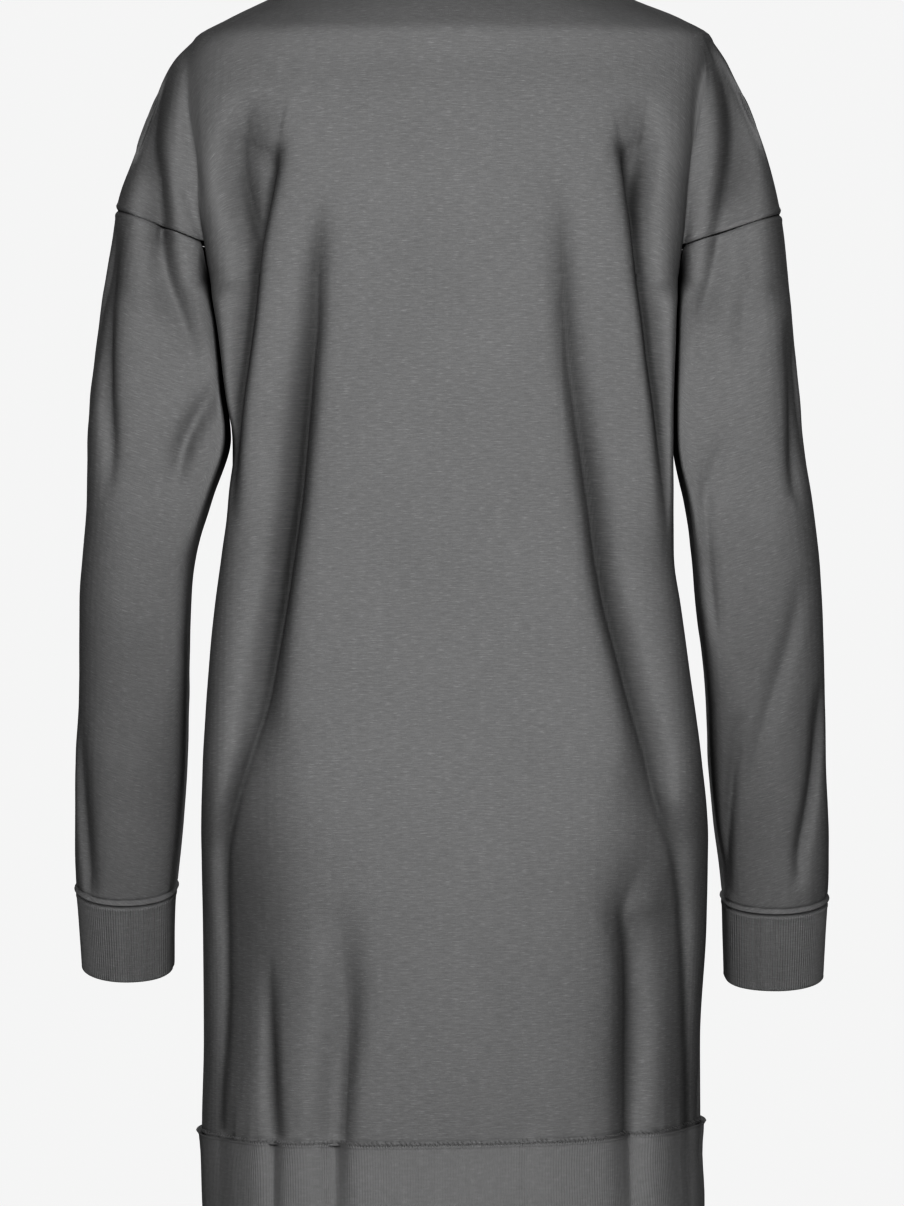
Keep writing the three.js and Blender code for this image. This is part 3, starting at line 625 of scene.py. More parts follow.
def folds(tables, x, z):
    """Height of the cloth over its plain form from all folds of a table, how far it is tucked in sideways,
    and painted shade, 0 to 1, near the closed bottom of a deep fold, which darkens the cloth's colour there."""
    total, tucked, painted_fold_shade = np.zeros(x.shape), np.zeros(x.shape), np.zeros(x.shape)
    for rows in tables.values():
        p = resampled(rows)
        pad = 5 * max(p[:, 2].max(), p[:, 3].max())
        sel = (x > p[:, 0].min() - pad) & (x < p[:, 0].max() + pad) & (z > p[:, 1].min() - pad) & (z < p[:, 1].max() + pad)
        qx, qz = x[sel], z[sel]
        best = np.full(qx.shape, 1e9)
        found = np.zeros((qx.size, 5))
        away = np.zeros(qx.size)
        for a, b in zip(p[:-1], p[1:]):
            dx, dz = b[0] - a[0], b[1] - a[1]
            t = np.clip(((qx - a[0]) * dx + (qz - a[1]) * dz) / (dx * dx + dz * dz), 0, 1)
            rx, rz = qx - a[0] - t * dx, qz - a[1] - t * dz
            d = np.hypot(rx, rz)
            near = d < best
            best = np.where(near, d, best)
            # +1 on the side away from the middle of the dress
            turn = np.sign(dx * rz - dz * rx) * (1 if dz < 0 else -1) * np.sign(a[0] + b[0] + 1e-9)
            away = np.where(near, turn, away)
            for k in range(5):
                found[:, k] = np.where(near, a[2 + k] + t * (b[2 + k] - a[2 + k]), found[:, k])
        w = np.where(away > 0, found[:, 1], found[:, 0])
        u = best / w
        vee = np.exp(-(np.sqrt(best * best + 2.6) - 1.6) / w)
        dip = found[:, 2] * mix(np.exp(-u * u), vee, found[:, 3])
        total[sel] -= dip
        tucked[sel] -= found[:, 4] * dip
        # painted shade: the colour is darkened along the bottom of a deep, sharp fold, standing for the shade in the
        # crease
        painted_shade_core = smooth(found[:, 2] / 14) * smooth(found[:, 3] / 0.6) * np.exp(-((best / 3.2) ** 2))
        painted_fold_shade[sel] = np.maximum(painted_fold_shade[sel], painted_shade_core)
    return total, tucked * np.sign(x), painted_fold_shade


def groove(d, depth=1.0, ridge=0.5):
    """A plain seam: the edge rolls in, and the cloth beside it stands up a little."""
    return -depth * np.exp(-((d / 1.0) ** 2)) + ridge * np.exp(-(((d - 3.2) / 1.7) ** 2))


def band(d, lo, hi, height, soft=0.6):
    return height * smooth((d - lo) / soft) * smooth((hi - d) / soft)


# ---------------------------------------------------------------- meshes
def vertex_normals(p, quads):
    n = np.cross(p[quads[:, 2]] - p[quads[:, 0]], p[quads[:, 3]] - p[quads[:, 1]])
    out = np.stack([np.bincount(quads.ravel(), np.repeat(n[:, k], 4), len(p)) for k in range(3)], 1)
    return out / np.maximum(np.linalg.norm(out, axis=1, keepdims=True), 1e-12)


def grid_quads(ids, wrap=False, closed_rows=False):
    if wrap:
        ids = np.concatenate([ids, ids[:, :1]], 1)
    if closed_rows:
        ids = np.concatenate([ids, ids[:1]], 0)
    q = np.stack([ids[:-1, :-1], ids[:-1, 1:], ids[1:, 1:], ids[1:, :-1]], -1).reshape(-1, 4)
    return q[(q >= 0).all(1)]


def make(name, p, quads, uv, node, material):
    me = bpy.data.meshes.new(name)
    me.from_pydata((p / 1000).astype(np.float32), [], quads)
    me.update()
    if uv is not None:
        layer = me.uv_layers.new(name="cloth")
        loops = np.empty(len(me.loops), np.int32)
        me.loops.foreach_get("vertex_index", loops)
        layer.data.foreach_set("uv", (uv[loops] / 1000).astype(np.float32).ravel())
    me.polygons.foreach_set("use_smooth", np.ones(len(me.polygons), bool))
    ob = bpy.data.objects.new(name, me)
    bpy.context.scene.collection.objects.link(ob)
    me.materials.append(material)
    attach(ob, "root")
    if node:
        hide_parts(node)
    return ob


def shell(name, p, quads, uv, thickness, node, material, keep=None):
    """A cloth sheet and its inner side, closed round its edges."""
    n = vertex_normals(p, quads)
    inner = p - thickness * n
    if keep:
        inner = keep(inner)
    k = len(p)
    a = quads
    e = np.concatenate([a[:, [0, 1]], a[:, [1, 2]], a[:, [2, 3]], a[:, [3, 0]]])
    code = e[:, 0].astype(np.int64) * k + e[:, 1]
    back = e[:, 1].astype(np.int64) * k + e[:, 0]
    rim = e[~np.isin(code, back)]
    all_quads = np.concatenate([a, a[:, ::-1] + k, np.stack([rim[:, 1], rim[:, 0], rim[:, 0] + k, rim[:, 1] + k], 1)])
    return make(name, np.concatenate([p, inner]), all_quads, np.concatenate([uv, uv]), node, material)


def graded(n, head=(), tail=()):
    """n even steps from 0 to 1 with finer ones, given from the end, at either end."""
    a = np.linspace(0, 1, n)
    h, t = np.array(head), np.array(tail)
    if len(h):
        a = np.r_[0, h, a[a > h[-1] + 0.6 / n]]
    if len(t):
        a = np.r_[a[a < 1 - t[-1] - 0.6 / n], (1 - t)[::-1], 1]
    return a


def lengths(p, axis):
    d = np.linalg.norm(np.diff(p, axis=axis), axis=-1)
    z = np.zeros_like(np.take(d, [0], axis))
    return np.concatenate([z, np.cumsum(d, axis)], axis)


# ---------------------------------------------------------------- body panels
def columns():
    return np.r_[np.arange(0, 0.32, 0.02), np.arange(0.33, 0.85, 0.0078), np.linspace(0.856, 0.985, 13), 0.9885, 0.992, 0.996, 1.0]


EARS = 24
EDGE = np.array([0.7, 1.4, 2.1, 2.8, 3.5, 4.3, 5.2, 6.4, 8.0])
SKIRT = graded(128, EDGE / 600)[:-1]
PIT = np.linspace(0, 1, 11)[:-1]
YOKE = graded(58, np.array([0.7, 1.5, 2.4, 3.4, 4.6, 6]) / 175, np.array([0.7, 1.5, 2.4, 3.4, 4.6, 6]) / 175)


def half(side, face):
    s = columns()
    sx = SIGN[side]
    low = HEM_SEAM_Z + SEAM / 2 - HEM_LEAN * sx * at(torso[side], HEM_SEAM_Z) * np.sin(s * np.pi / 2)
    z = mix(low[None, :], UNDERARM_Z, SKIRT[:, None])
    x = at(torso[side], z) * np.sin(s * np.pi / 2)
    top = PIT_TOP[side, face]

    def torso_x(share, z):
        w = at(torso[side], z)
        k = np.where(z > UNDERARM_Z, at(FOLD_LINE[side, face], z) - SEAM / 2, w)
        return w * np.sin(share * np.arcsin(np.clip(k / w, 0, 1)))

    zp = np.repeat(mix(UNDERARM_Z, top + SEAM / 2, PIT)[:, None], len(s), 1)
    xp = torso_x(s[None, :], zp)
    # above the armhole seam
    v = YOKE[:, None]
    nx, nz = neckline(face, SPLIT * s)
    zy = mix(top + SEAM / 2, nz[None, :], v)
    outer = arm(side, zy)["outer"]
    share = mix(torso_x(s[None, :], zy) / outer, (nx / arm(side, nz)["outer"])[None, :], smooth((v - 0.3) / 0.7))
    xy = share * outer
    e = np.linspace(0, 1, EARS + 1)[1:]
    e = np.r_[e[:-1], 1 - 0.3 / EARS, 1.0]
    seam_angle = (1 - e) * fold_angle(side, face, top)
    base = armhole_at(side, face, seam_angle) + SEAM / 2
    nx, nz = neckline(face, SPLIT + (1 - SPLIT) * e)
    ze = mix(base[None, :], nz[None, :], v)
    a = arm(side, ze)
    share = seam_angle / fold_angle(side, face, base)
    angle = mix(share[None, :], (1 - e)[None, :], smooth(v * 3)) * fold_angle(side, face, ze)
    xe = a["x"] + a["r"] * np.cos(np.radians(angle))
    share = mix(xe / a["outer"], (nx / arm(side, nz)["outer"])[None, :], smooth((v - 0.3) / 0.7))
    xe = share * a["outer"]
    blank = np.full((len(SKIRT) + len(PIT), xe.shape[1]), np.nan)
    X = np.concatenate([np.concatenate([x, xp, xy]), np.concatenate([blank, xe])], 1)
    Zs = np.concatenate([np.concatenate([z, zp, zy]), np.concatenate([blank, ze])], 1)
    Y = np.maximum(body_y(side, face, X, Zs), 0.02)
    return X, Y, Zs, len(s)


def body(face, material):
    sy = 1 if face == "back" else -1
    XL, YL, ZL, n = half("left", face)
    XR, YR, ZR, _ = half("right", face)
    X = np.concatenate([XL[:, ::-1], -XR[:, 1:]], 1)
    Y = np.concatenate([YL[:, ::-1], YR[:, 1:]], 1) * sy
    ZZ = np.concatenate([ZL[:, ::-1], ZR[:, 1:]], 1)
    real = ~np.isnan(X)
    ids = np.where(real, np.cumsum(real.ravel()).reshape(real.shape) - 1, -1)
    quads = grid_quads(ids)
    if face == "front":
        quads = quads[:, ::-1]
    P = np.stack([X, Y, ZZ], -1)
    p = P[real]
    normal = vertex_normals(p, quads)
    ear = X.shape[1] // 2 - (n - 1)  # columns of each ear
    is_ear = np.zeros(X.shape, bool)
    is_ear[:, :ear] = is_ear[:, -ear:] = True
    # distances along the cloth from its edges and its middle
    filled = np.where(real[..., None], P, 0)
    seg = np.linalg.norm(np.diff(filled, axis=1), axis=-1) * (real[:, 1:] & real[:, :-1])
    across = np.concatenate([np.zeros((len(X), 1)), np.cumsum(seg, 1)], 1)
    d_left, d_right = across, across[:, -1:] - across
    d_side = np.minimum(d_left, d_right)
    mid = X.shape[1] // 2
    u = across - across[:, mid : mid + 1]
    segv = np.linalg.norm(np.diff(filled, axis=0), axis=-1) * (real[1:] & real[:-1])
    up = np.concatenate([np.zeros((1, X.shape[1])), np.cumsum(segv, 0)], 0)
    d_neck = up[-1:] - up
    lower = len(SKIRT) + len(PIT)
    d_armhole = np.where(is_ear, up, 1e3)
    v = up.copy()
    v[:, :ear] += up[lower, ear]
    v[:, -ear:] += up[lower, -ear - 1]
    # folds and relief
    T = BACK_TORSO_FOLDS if face == "back" else FRONT_TORSO_FOLDS
    A = BACK_ARM_FOLDS if face == "back" else FRONT_ARM_FOLDS
    xs, zs = X[real], ZZ[real]
    on_ear = is_ear[real]
    dip, tuck, painted_fold_shade = folds(T, xs, zs)
    ha = folds(A, xs, zs)[0] * smooth((zs + 240) / 20)
    keep_arm = np.where(on_ear, 1.0, 0.0)
    dip = dip + ha * keep_arm
    du, dv = u[real], v[real]
    hem = np.where(on_ear, 1e3, up[real])
    h = 0.35 * noise(du / 38 + 9, dv / 55 + 3, 11) + 0.16 * noise(du / 13, dv / 21, 12)
    # small gathers above the hem seam
    h += 0.9 * np.exp(-hem / 13) * noise(du / 6.5 + 40, hem / 60, 21 if face == "back" else 22)
    inside = smooth((np.abs(p[:, 1]) - 3) / 22)
    dip *= inside
    tuck *= inside * (1 - keep_arm)
    painted_fold_shade *= inside * (1 - keep_arm)
    h *= inside
    # seams: hem with its pressed, stitched band; armhole, side and neck
    h += groove(hem, 1.3, 0) + band(hem, 0.2, 3.0, 0.8) - 0.5 * np.exp(-(((hem - 3.8) / 0.9) ** 2))
    h += groove(d_armhole[real], 1.0, 0.7)
    h += groove(d_side[real], 0.8, 0.0) * smooth((hem - 1) / 4) * smooth((-222 - zs) / 8)
    h += groove(d_neck[real], 0.8, 0.0) + band(d_neck[real], 0.3, 4.6, 0.6)
    p = p + normal * h[:, None]
    p[:, 0] += tuck
    p[:, 1] = np.maximum((p[:, 1] * sy + dip), 0.02) * sy

    def keep(q):
        q[:, 1] = np.maximum(q[:, 1] * sy, 0.02) * sy
        return q

    uv = np.stack([du + (0 if face == "back" else 1500), dv], 1)
    ob = shell("cloth_body_" + face, p, quads, uv, CLOTH, "body_" + face, material, keep)
    # painted shade in the bottoms of deep folds, kept on the points for the material to darken the cloth colour
    layer = ob.data.attributes.new("painted_fold_shade", "FLOAT", "POINT")
    layer.data.foreach_set("value", np.concatenate([painted_fold_shade, painted_fold_shade]).astype(np.float32))
    return ob, {"low": p[ids[3][ids[3] >= 0]], "high": p[ids[7][ids[7] >= 0]]}


# ---------------------------------------------------------------- sleeves and ribs
def sleeve_angles(side, n):
    return np.arange(n) * 360.0 / n


def ring_z(side, angle, mid):
    return mid - SLEEVE[side]["lean"] * at(arms[side]["depth"], mid) * np.sin(np.radians(angle))


def arm_points(side, angle, z):
    """A point round the arm, 0 outer, 90 back, 180 inner."""
    a, r = arm(side, z), np.radians(angle)
    c = np.cos(r)
    s = np.sign(np.round(np.sin(r), 9)) * arm_section(a, c)
    return np.stack([SIGN[side] * (a["x"] + a["r"] * c), a["y"] + a["depth"] * s, z], -1)


def sleeve(side, material):
    angle = sleeve_angles(side, 124)[None, :]
    t = graded(146, np.array([0.7, 1.5, 2.4, 3.4, 4.6, 6]) / 480, np.array([0.6, 1.2, 1.8, 2.4, 3.0, 3.6, 4.3, 5.1, 6.0, 7.2]) / 480)[:, None]
    seam = np.where(angle <= 180, armhole_at(side, "back", angle), armhole_at(side, "front", 360 - angle))
    z = mix(seam - SEAM / 2, ring_z(side, angle, SLEEVE[side]["cuff"]) + SEAM / 2, t)
    P = arm_points(side, np.broadcast_to(angle, z.shape), z)
    ids = np.arange(z.size).reshape(z.shape)
    quads = grid_quads(ids, wrap=True)
    if side == "left":
        quads = quads[:, ::-1]
    p = P.reshape(-1, 3)
    normal = vertex_normals(p, quads)
    down = lengths(P, 0)
    d_cuff = (down[-1:] - down).ravel()
    d_top = down.ravel()
    r = (at(arms[side]["r"], z) + at(arms[side]["depth"], z)) / 2
    u = np.radians(np.broadcast_to(angle, z.shape)) * 42
    girth = np.radians(np.abs((angle - 180 + 180) % 360 - 180)) * r
    inner = np.radians(np.abs(((angle - 180) + 180) % 360 - 180)) * r
    a = np.radians(np.broadcast_to(angle, z.shape)).ravel()
    hb, hf = folds(BACK_ARM_FOLDS, p[:, 0], p[:, 2])[0], folds(FRONT_ARM_FOLDS, p[:, 0], p[:, 2])[0]
    depth = at(arms[side]["depth"], p[:, 2])
    dip = np.where(np.sin(a) > 0, hb, hf) * smooth((np.abs(p[:, 1] - at(arms[side]["y"], p[:, 2])) - 3) / 16)
    dip *= smooth(d_cuff / 12)
    h = 0
    uu, vv = u.ravel(), down.ravel()
    wob = np.minimum(smooth(d_top / 20), smooth(d_cuff / 6))
    seed = 31 if side == "left" else 41
    ring = 2 * np.pi * 42
    h += wob * (0.4 * noise(np.cos(a) * 1.3 + 9, vv / 42 + np.sin(a) * 1.2, seed) + 0.2 * noise(np.cos(a) * 3 + 20, vv / 17 + np.sin(a) * 3, seed + 1))
    # gathers above the cuff
    h += 1.1 * np.exp(-d_cuff / 14) * smooth((d_cuff - 3) / 4) * noise(a * 42 / 7.5 + 30, d_cuff / 90, seed + 2) * smooth(4 * np.abs(np.sin(a)))
    # seams: a rolled edge over the cuff seam, the armhole seam, the underarm seam
    h += 1.5 * np.exp(-(((d_cuff - 1.9) / 1.25) ** 2)) - 1.1 * np.exp(-((d_cuff / 0.8) ** 2)) - 0.9 * np.exp(-(((d_cuff - 4.6) / 0.9) ** 2))
    h += groove(d_top, 1.0, 0.5)
    h += groove(inner.ravel(), 0.7, 0.3) * smooth(d_top / 6) * smooth((d_cuff - 2) / 5)
    p = p + normal * (h + 0.35 * dip)[:, None]
    p[:, 1] += 0.65 * dip * np.sign(np.sin(a))
    uv = np.stack([uu + (3000 if side == "left" else 4500), vv], 1)
    return shell("cloth_sleeve_" + side, p, quads, uv, CLOTH, "sleeve_" + side, material)


def rib_piece(name, surface, total, ribs, per_rib, levels, material, node, bands, seed, flip=False, free=True, u0=0.0):
    """surface(level, t) gives the outer face, level 0 at the seam to 1 at the free edge, t once round by length."""
    n = ribs * per_rib
    t = np.arange(n) / n
    r = RIB / 2
    lv = np.array(levels)
    edge = 1 - r / total
    lv = lv[lv < edge]
    base = surface(np.r_[lv, edge, 1.0][:, None], t[None, :])
    ids = np.arange(base.shape[0] * n).reshape(base.shape[0], n)
    q = grid_quads(ids, wrap=True)
    if flip:
        q = q[:, ::-1]
    normal = vertex_normals(base.reshape(-1, 3), q).reshape(base.shape)
    wave = np.cos(2 * np.pi * t * ribs)
    wave = np.sign(wave) * np.abs(wave) ** 0.8
    uneven = 1 + 0.35 * noise(t * ribs / 3.1, t * 0 + 2, seed) + 0.25 * noise(t * ribs / 11, t * 0 + 5, seed + 1)
    amp = 0.33 * uneven
    rows, d = [], total * lv
    wall = 0.2 * noise(t * ribs / 9, t * 0 + 7, seed + 2)

    def row(k, off, lift=0.0, extra=0.0, level=None):
        drop = 0.0
        b = base[k] + normal[k] * (off + lift)[:, None] if np.ndim(off + lift) else base[k] + normal[k] * (off + lift)
        return b

    # the seam allowance, turned up inside the next piece
    ahead = base[0] - base[1]
    ahead = ahead / np.maximum(np.linalg.norm(ahead, axis=1, keepdims=True), 1e-9)
    rows.append(base[0] - normal[0] * 4.2 + ahead * 2.8)
    for k, dk in enumerate(d):
        fade = float(smooth((dk - 0.6) / 1.6))
        seam_relief = bands(dk)
        soft = 0.22 * noise(t * ribs / 14 + 3, t * 0 + dk / 26, seed + 3) * float(smooth(dk / 8))
        rows.append(base[k] + normal[k] * (amp * wave * fade + seam_relief + soft)[:, None])
    k1, k2 = len(lv), len(lv) + 1
    down = base[k2] - base[k1]
    down = down / np.maximum(np.linalg.norm(down, axis=1, keepdims=True), 1e-9)
    for deg in (0, 30, 60, 90, 120, 150, 180):
        a = math.radians(deg)
        off = -r + (r + amp * wave * abs(math.cos(a))) * math.cos(a)
        rows.append(base[k1] + normal[k1] * off[:, None] + down * (r * math.sin(a)))
    for k in range(len(lv) - 1, -1, -1):
        if k % 2 and k > 1:
            continue
        rows.append(base[k] - normal[k] * (RIB + 0.5 * amp * wave)[:, None])
    P = np.stack(rows)
    ids = np.arange(P.shape[0] * n).reshape(P.shape[0], n)
    quads = grid_quads(ids, wrap=True, closed_rows=True)
    if flip:
        quads = quads[:, ::-1]
    down_len = lengths(P, 0)
    round_len = np.broadcast_to(t[None, :] * ribs * RIB_PITCH, P.shape[:2])
    uv = np.stack([round_len + u0, down_len], -1).reshape(-1, 2)
    return make(name, P.reshape(-1, 3), quads, uv, node, material)


def even(ring, t):
    """Positions t round a closed ring of parameter values, by length along the ring."""
    q = np.linspace(0, 1, 4001)
    p = ring(q)
    d = np.r_[0, np.cumsum(np.linalg.norm(np.diff(p, axis=0), axis=1))]
    return np.interp(t, d / d[-1], q), d[-1]


def hem_surface(level, q):
    a = 2 * np.pi * q + 0 * level
    c = np.cos(a)
    left, back = c >= 0, np.sin(a) >= 0
    x0 = np.where(left, at(torso["left"], HEM_SEAM_Z), at(torso["right"], HEM_SEAM_Z)) * c
    z = HEM_SEAM_Z - HEM_LEAN * x0 - mix(SEAM / 2, HEM_BAND_HEIGHT, level)
    x = np.where(left, at(torso["left"], z), at(torso["right"], z)) * c
    ax = np.abs(x)
    y = np.select(
        [left & back, left & ~back, ~left & back],
        [torso_y("left", "back", ax, z), -torso_y("left", "front", ax, z), torso_y("right", "back", ax, z)],
        -torso_y("right", "front", ax, z),
    )
    zf = np.full(x.shape, HEM_SEAM_Z + 8.0)
    fb, ff = folds(BACK_TORSO_FOLDS, x, zf)[:2], folds(FRONT_TORSO_FOLDS, x, zf)[:2]
    share = smooth((np.abs(y) - 3) / 22) * mix(0.92, 0.4, level)
    return np.stack([x + share * np.where(back, fb[1], ff[1]), y + np.sign(y) * share * np.where(back, fb[0], ff[0]), z], -1)


def cuff_surface(side):
    def surface(level, q):
        angle = 360.0 * q + 0 * level
        z = mix(ring_z(side, angle, SLEEVE[side]["cuff"]) - SEAM / 2, ring_z(side, angle, SLEEVE[side]["end"]), level)
        return arm_points(side, angle, z)

    return surface


def neck_surface(level, q):
    """The neckband leans in from the neck seam."""
    quarter = (q * 4 + 0 * level) % 4
    k = np.floor(quarter).astype(int)
    f = quarter - k
    s = np.select([k == 0, k == 1, k == 2], [1 - f, f, 1 - f], f)
    back = k < 2
    sx = np.where((k == 0) | (k == 3), 1.0, -1.0)
    xb, zb = neckline("back", s)
    xf, zf = neckline("front", s)
    x, z = np.where(back, xb, xf), np.where(back, zb, zf)
    y = np.where(back, body_y("left", "back", x, z), -body_y("left", "front", x, z))
    foot = np.stack([sx * x, y, z], -1)
    inward = np.stack([-foot[..., 0], -12 - foot[..., 1], np.zeros(x.shape)], -1)
    inward /= np.linalg.norm(inward, axis=-1, keepdims=True)
    h = mix(0.5, NECKBAND_HEIGHT, level)
    p = foot + inward * (0.5 + h * 0.42 - 0.006 * h * h)[..., None]
    p[..., 2] += h * 0.9 + 0.2
    return p


# ---------------------------------------------------------------- cloth looks
def nodes_of(name):
    mat = bpy.data.materials.new(name)
    mat.use_nodes = True
    nt = mat.node_tree
    nt.nodes.clear()
    out = nt.nodes.new("ShaderNodeOutputMaterial")
    sh = nt.nodes.new("ShaderNodeBsdfPrincipled")
    nt.links.new(sh.outputs[0], out.inputs["Surface"])
    sh.inputs["Roughness"].default_value = 1.0
    sh.inputs["Specular IOR Level"].default_value = 0.1
    return mat, nt, sh


def cloth_material(name, grey, bump, pale=0.06):
    """Melange knit: short level slubs, speckle and a faint wale, on the cloth's own coordinates, with painted shade
    darkening the colour in the bottoms of deep folds.
    """
    mat, nt, sh = nodes_of(name)
    new, link = nt.nodes.new, nt.links.new
    uv = new("ShaderNodeTexCoord")

    def stretched(sx, sy, scale, detail, rough=0.5):
        m = new("ShaderNodeMapping")
        m.inputs["Scale"].default_value = (sx, sy, 1)
        link(uv.outputs["UV"], m.inputs["Vector"])
        n = new("ShaderNodeTexNoise")
        n.inputs["Scale"].default_value = scale
        n.inputs["Detail"].default_value = detail
        n.inputs["Roughness"].default_value = rough
        link(m.outputs[0], n.inputs["Vector"])
        return n.outputs["Fac"]

    def math_node(op, a, b):
        m = new("ShaderNodeMath")
        m.operation = op
        for k, v in enumerate((a, b)):
            if isinstance(v, (int, float)):
                m.inputs[k].default_value = v
            else:
                link(v, m.inputs[k])
        return m.outputs[0]

    slub = stretched(1, 9, 105, 2.5)
    fleck = math_node("MAXIMUM", math_node("SUBTRACT", stretched(1, 8, 170, 1.0), 0.56), 0)
    speck = stretched(1, 1.6, 1100, 1.0)
    broad = stretched(1, 1, 14, 2.0)
    yarn = stretched(1, 9, 420, 1.0)
    total = math_node("ADD", math_node("MULTIPLY", slub, pale * 4.4), math_node("MULTIPLY", speck, pale * 3.0))
    total = math_node("ADD", total, math_node("MULTIPLY", broad, 0.10))
    total = math_node("ADD", total, math_node("MULTIPLY", yarn, pale * 2.0))
    total = math_node("ADD", total, math_node("MULTIPLY", fleck, pale * 14))
    mean = pale * 2.2 + pale * 1.5 + 0.05 + pale * 1.0 + pale * 0.25
    value = math_node("MULTIPLY", math_node("ADD", total, 1 - mean), grey)
    # painted shade: the colour is darkened by up to 42 percent where the fold-bottom shade is stored on the points
    painted_fold_shade = new("ShaderNodeAttribute")
    painted_fold_shade.attribute_type = "GEOMETRY"
    painted_fold_shade.attribute_name = "painted_fold_shade"
    value = math_node("MULTIPLY", value, math_node("SUBTRACT", 1, math_node("MULTIPLY", painted_fold_shade.outputs["Fac"], 0.42)))
    comb = new("ShaderNodeCombineColor")
    for k, tint in enumerate((1.0, 1.0, 1.003)):
        link(math_node("MULTIPLY", value, tint), comb.inputs[k])
    link(comb.outputs[0], sh.inputs["Base Color"])
    w = new("ShaderNodeTexWave")
    w.wave_type = "BANDS"
    w.bands_direction = "X"
    w.inputs["Scale"].default_value = 1000 / 1.1 / (2 * math.pi) * math.pi / 10
    w.inputs["Distortion"].default_value = 1.2
    w.inputs["Detail"].default_value = 1
    link(uv.outputs["UV"], w.inputs["Vector"])
    height = math_node("ADD", math_node("MULTIPLY", w.outputs["Fac"], 0.25), math_node("MULTIPLY", speck, 1.0))
    b = new("ShaderNodeBump")
    b.inputs["Strength"].default_value = bump
    b.inputs["Distance"].default_value = 0.0004
    link(height, b.inputs["Height"])
    link(b.outputs[0], sh.inputs["Normal"])
    return mat


sweat = cloth_material("melange_sweat", 0.18, 0.5, 0.09)
ribbed = cloth_material("melange_rib", 0.2, 0.35, 0.07)
thread, _, sh = nodes_of("thread")
sh.inputs["Base Color"].default_value = (0.19, 0.19, 0.19, 1)

# ---------------------------------------------------------------- build
back, back_edge = body("back", sweat)
front, front_edge = body("front", sweat)
sleeves = {s: sleeve(s, sweat) for s in SIDES}


def hem_bands(d):
    return float(
        -1.9 * np.exp(-((d / 0.7) ** 2)) + band(d, 0.8, 3.4, 0.6) - 0.45 * np.exp(-(((d - 4.0) / 0.6) ** 2))
    )


def cuff_bands(d):
    return float(-2.0 * np.exp(-((d / 0.8) ** 2)) + 0.35 * np.exp(-(((d - 2.6) / 1.2) ** 2)))


def neck_bands(d):
    return float(-1.6 * np.exp(-((d / 0.8) ** 2)) + 0.3 * np.exp(-(((d - 2.4) / 1.0) ** 2)))


def band_piece(name, ring, total, levels, node, bands, seed, flip, u0, fold=1.0):
    _, girth = even(lambda q: ring(np.zeros(1)[:, None], q[None, :])[0], np.array([0.0]))
    ribs = int(round(girth / RIB_PITCH))

    def surface(level, t):
        q, _ = even(lambda q: ring(np.zeros(1)[:, None], q[None, :])[0], t[0])
        return ring(level, q[None, :])

    per = 4 if ribs > 300 else 6
    return rib_piece(name, surface, total, ribs, per, levels, ribbed, node, bands, seed, flip, True, u0)


def levels(total, fine, n):
    return np.r_[np.array(fine) / total, np.linspace(fine[-1] / total, 1, n)[1:]]


hem = band_piece(
    "rib_hem", hem_surface, HEM_BAND_HEIGHT, levels(HEM_BAND_HEIGHT, [0, 0.6, 1.2, 2.0, 2.9, 3.5, 4.0, 4.6, 5.6, 8], 16),
    "hem_band", hem_bands, 51, False, 6000,
)
cuffs = {}
for side in SIDES:
    cuffs[side] = band_piece(
        "rib_cuff_" + side, cuff_surface(side), 56, levels(56, [0, 0.6, 1.2, 2.0, 3.0, 4.2, 6], 20),
        "cuff_" + side, cuff_bands, 61 if side == "left" else 71, side == "left", 8000 if side == "left" else 9000,
    )
neck = band_piece(
    "rib_neck", neck_surface, NECKBAND_HEIGHT, levels(NECKBAND_HEIGHT, [0, 0.6, 1.2, 2.0, 3.0, 4.2], 9),
    "neckband", neck_bands, 81, False, 10000,
)


# ---------------------------------------------------------------- stitches
def capsules(name, starts, ends, outs, radius, rides):
    """Small threads as one joined mesh: a six-sided bar from start to end, raised at its middle."""
    a = np.arange(6) / 6 * 2 * np.pi
    axis = ends - starts
    length = np.linalg.norm(axis, axis=1, keepdims=True)
    axis = axis / length
    side = np.cross(axis, outs)
    side /= np.linalg.norm(side, axis=1, keepdims=True)
    outs = np.cross(side, axis)
    rows = []
    for f, s in ((0.0, 0.25), (0.2, 0.9), (0.5, 1.0), (0.8, 0.9), (1.0, 0.25)):
        c = starts + (ends - starts) * f + outs * (radius * 0.9 * math.sin(math.pi * f) - 0.25 * radius)
        rows.append(
            c[:, None, :]
            + radius * s * (side[:, None, :] * np.cos(a)[None, :, None] + outs[:, None, :] * np.sin(a)[None, :, None])
        )
    p = np.stack(rows, 1)  # stitch, row, corner
    n = len(starts)
    ids = np.arange(n * 30).reshape(n, 5, 6)
    wrap = np.concatenate([ids, ids[:, :, :1]], 2)
    q = np.stack([wrap[:, :-1, :-1], wrap[:, :-1, 1:], wrap[:, 1:, 1:], wrap[:, 1:, :-1]], -1).reshape(-1, 4)
    caps = np.concatenate([ids[:, 0, ::-1], ids[:, 4, :]]).tolist()
    me = bpy.data.meshes.new(name)
    me.from_pydata((p.reshape(-1, 3) / 1000).tolist(), [], q.tolist() + caps)
    me.update()
    me.polygons.foreach_set("use_smooth", np.ones(len(me.polygons), bool))
    ob = bpy.data.objects.new(name, me)
    bpy.context.scene.collection.objects.link(ob)
    me.materials.append(thread)
    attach(ob, "root")
    return ob


def along(p, step, margin):
    d = np.r_[0, np.cumsum(np.linalg.norm(np.diff(p, axis=0), axis=1))]
    n = int((d[-1] - 2 * margin) / step)
    q = margin + (np.arange(n) + 0.5) * (d[-1] - 2 * margin) / n
    return np.stack([np.interp(q, d, p[:, k]) for k in range(3)], 1)


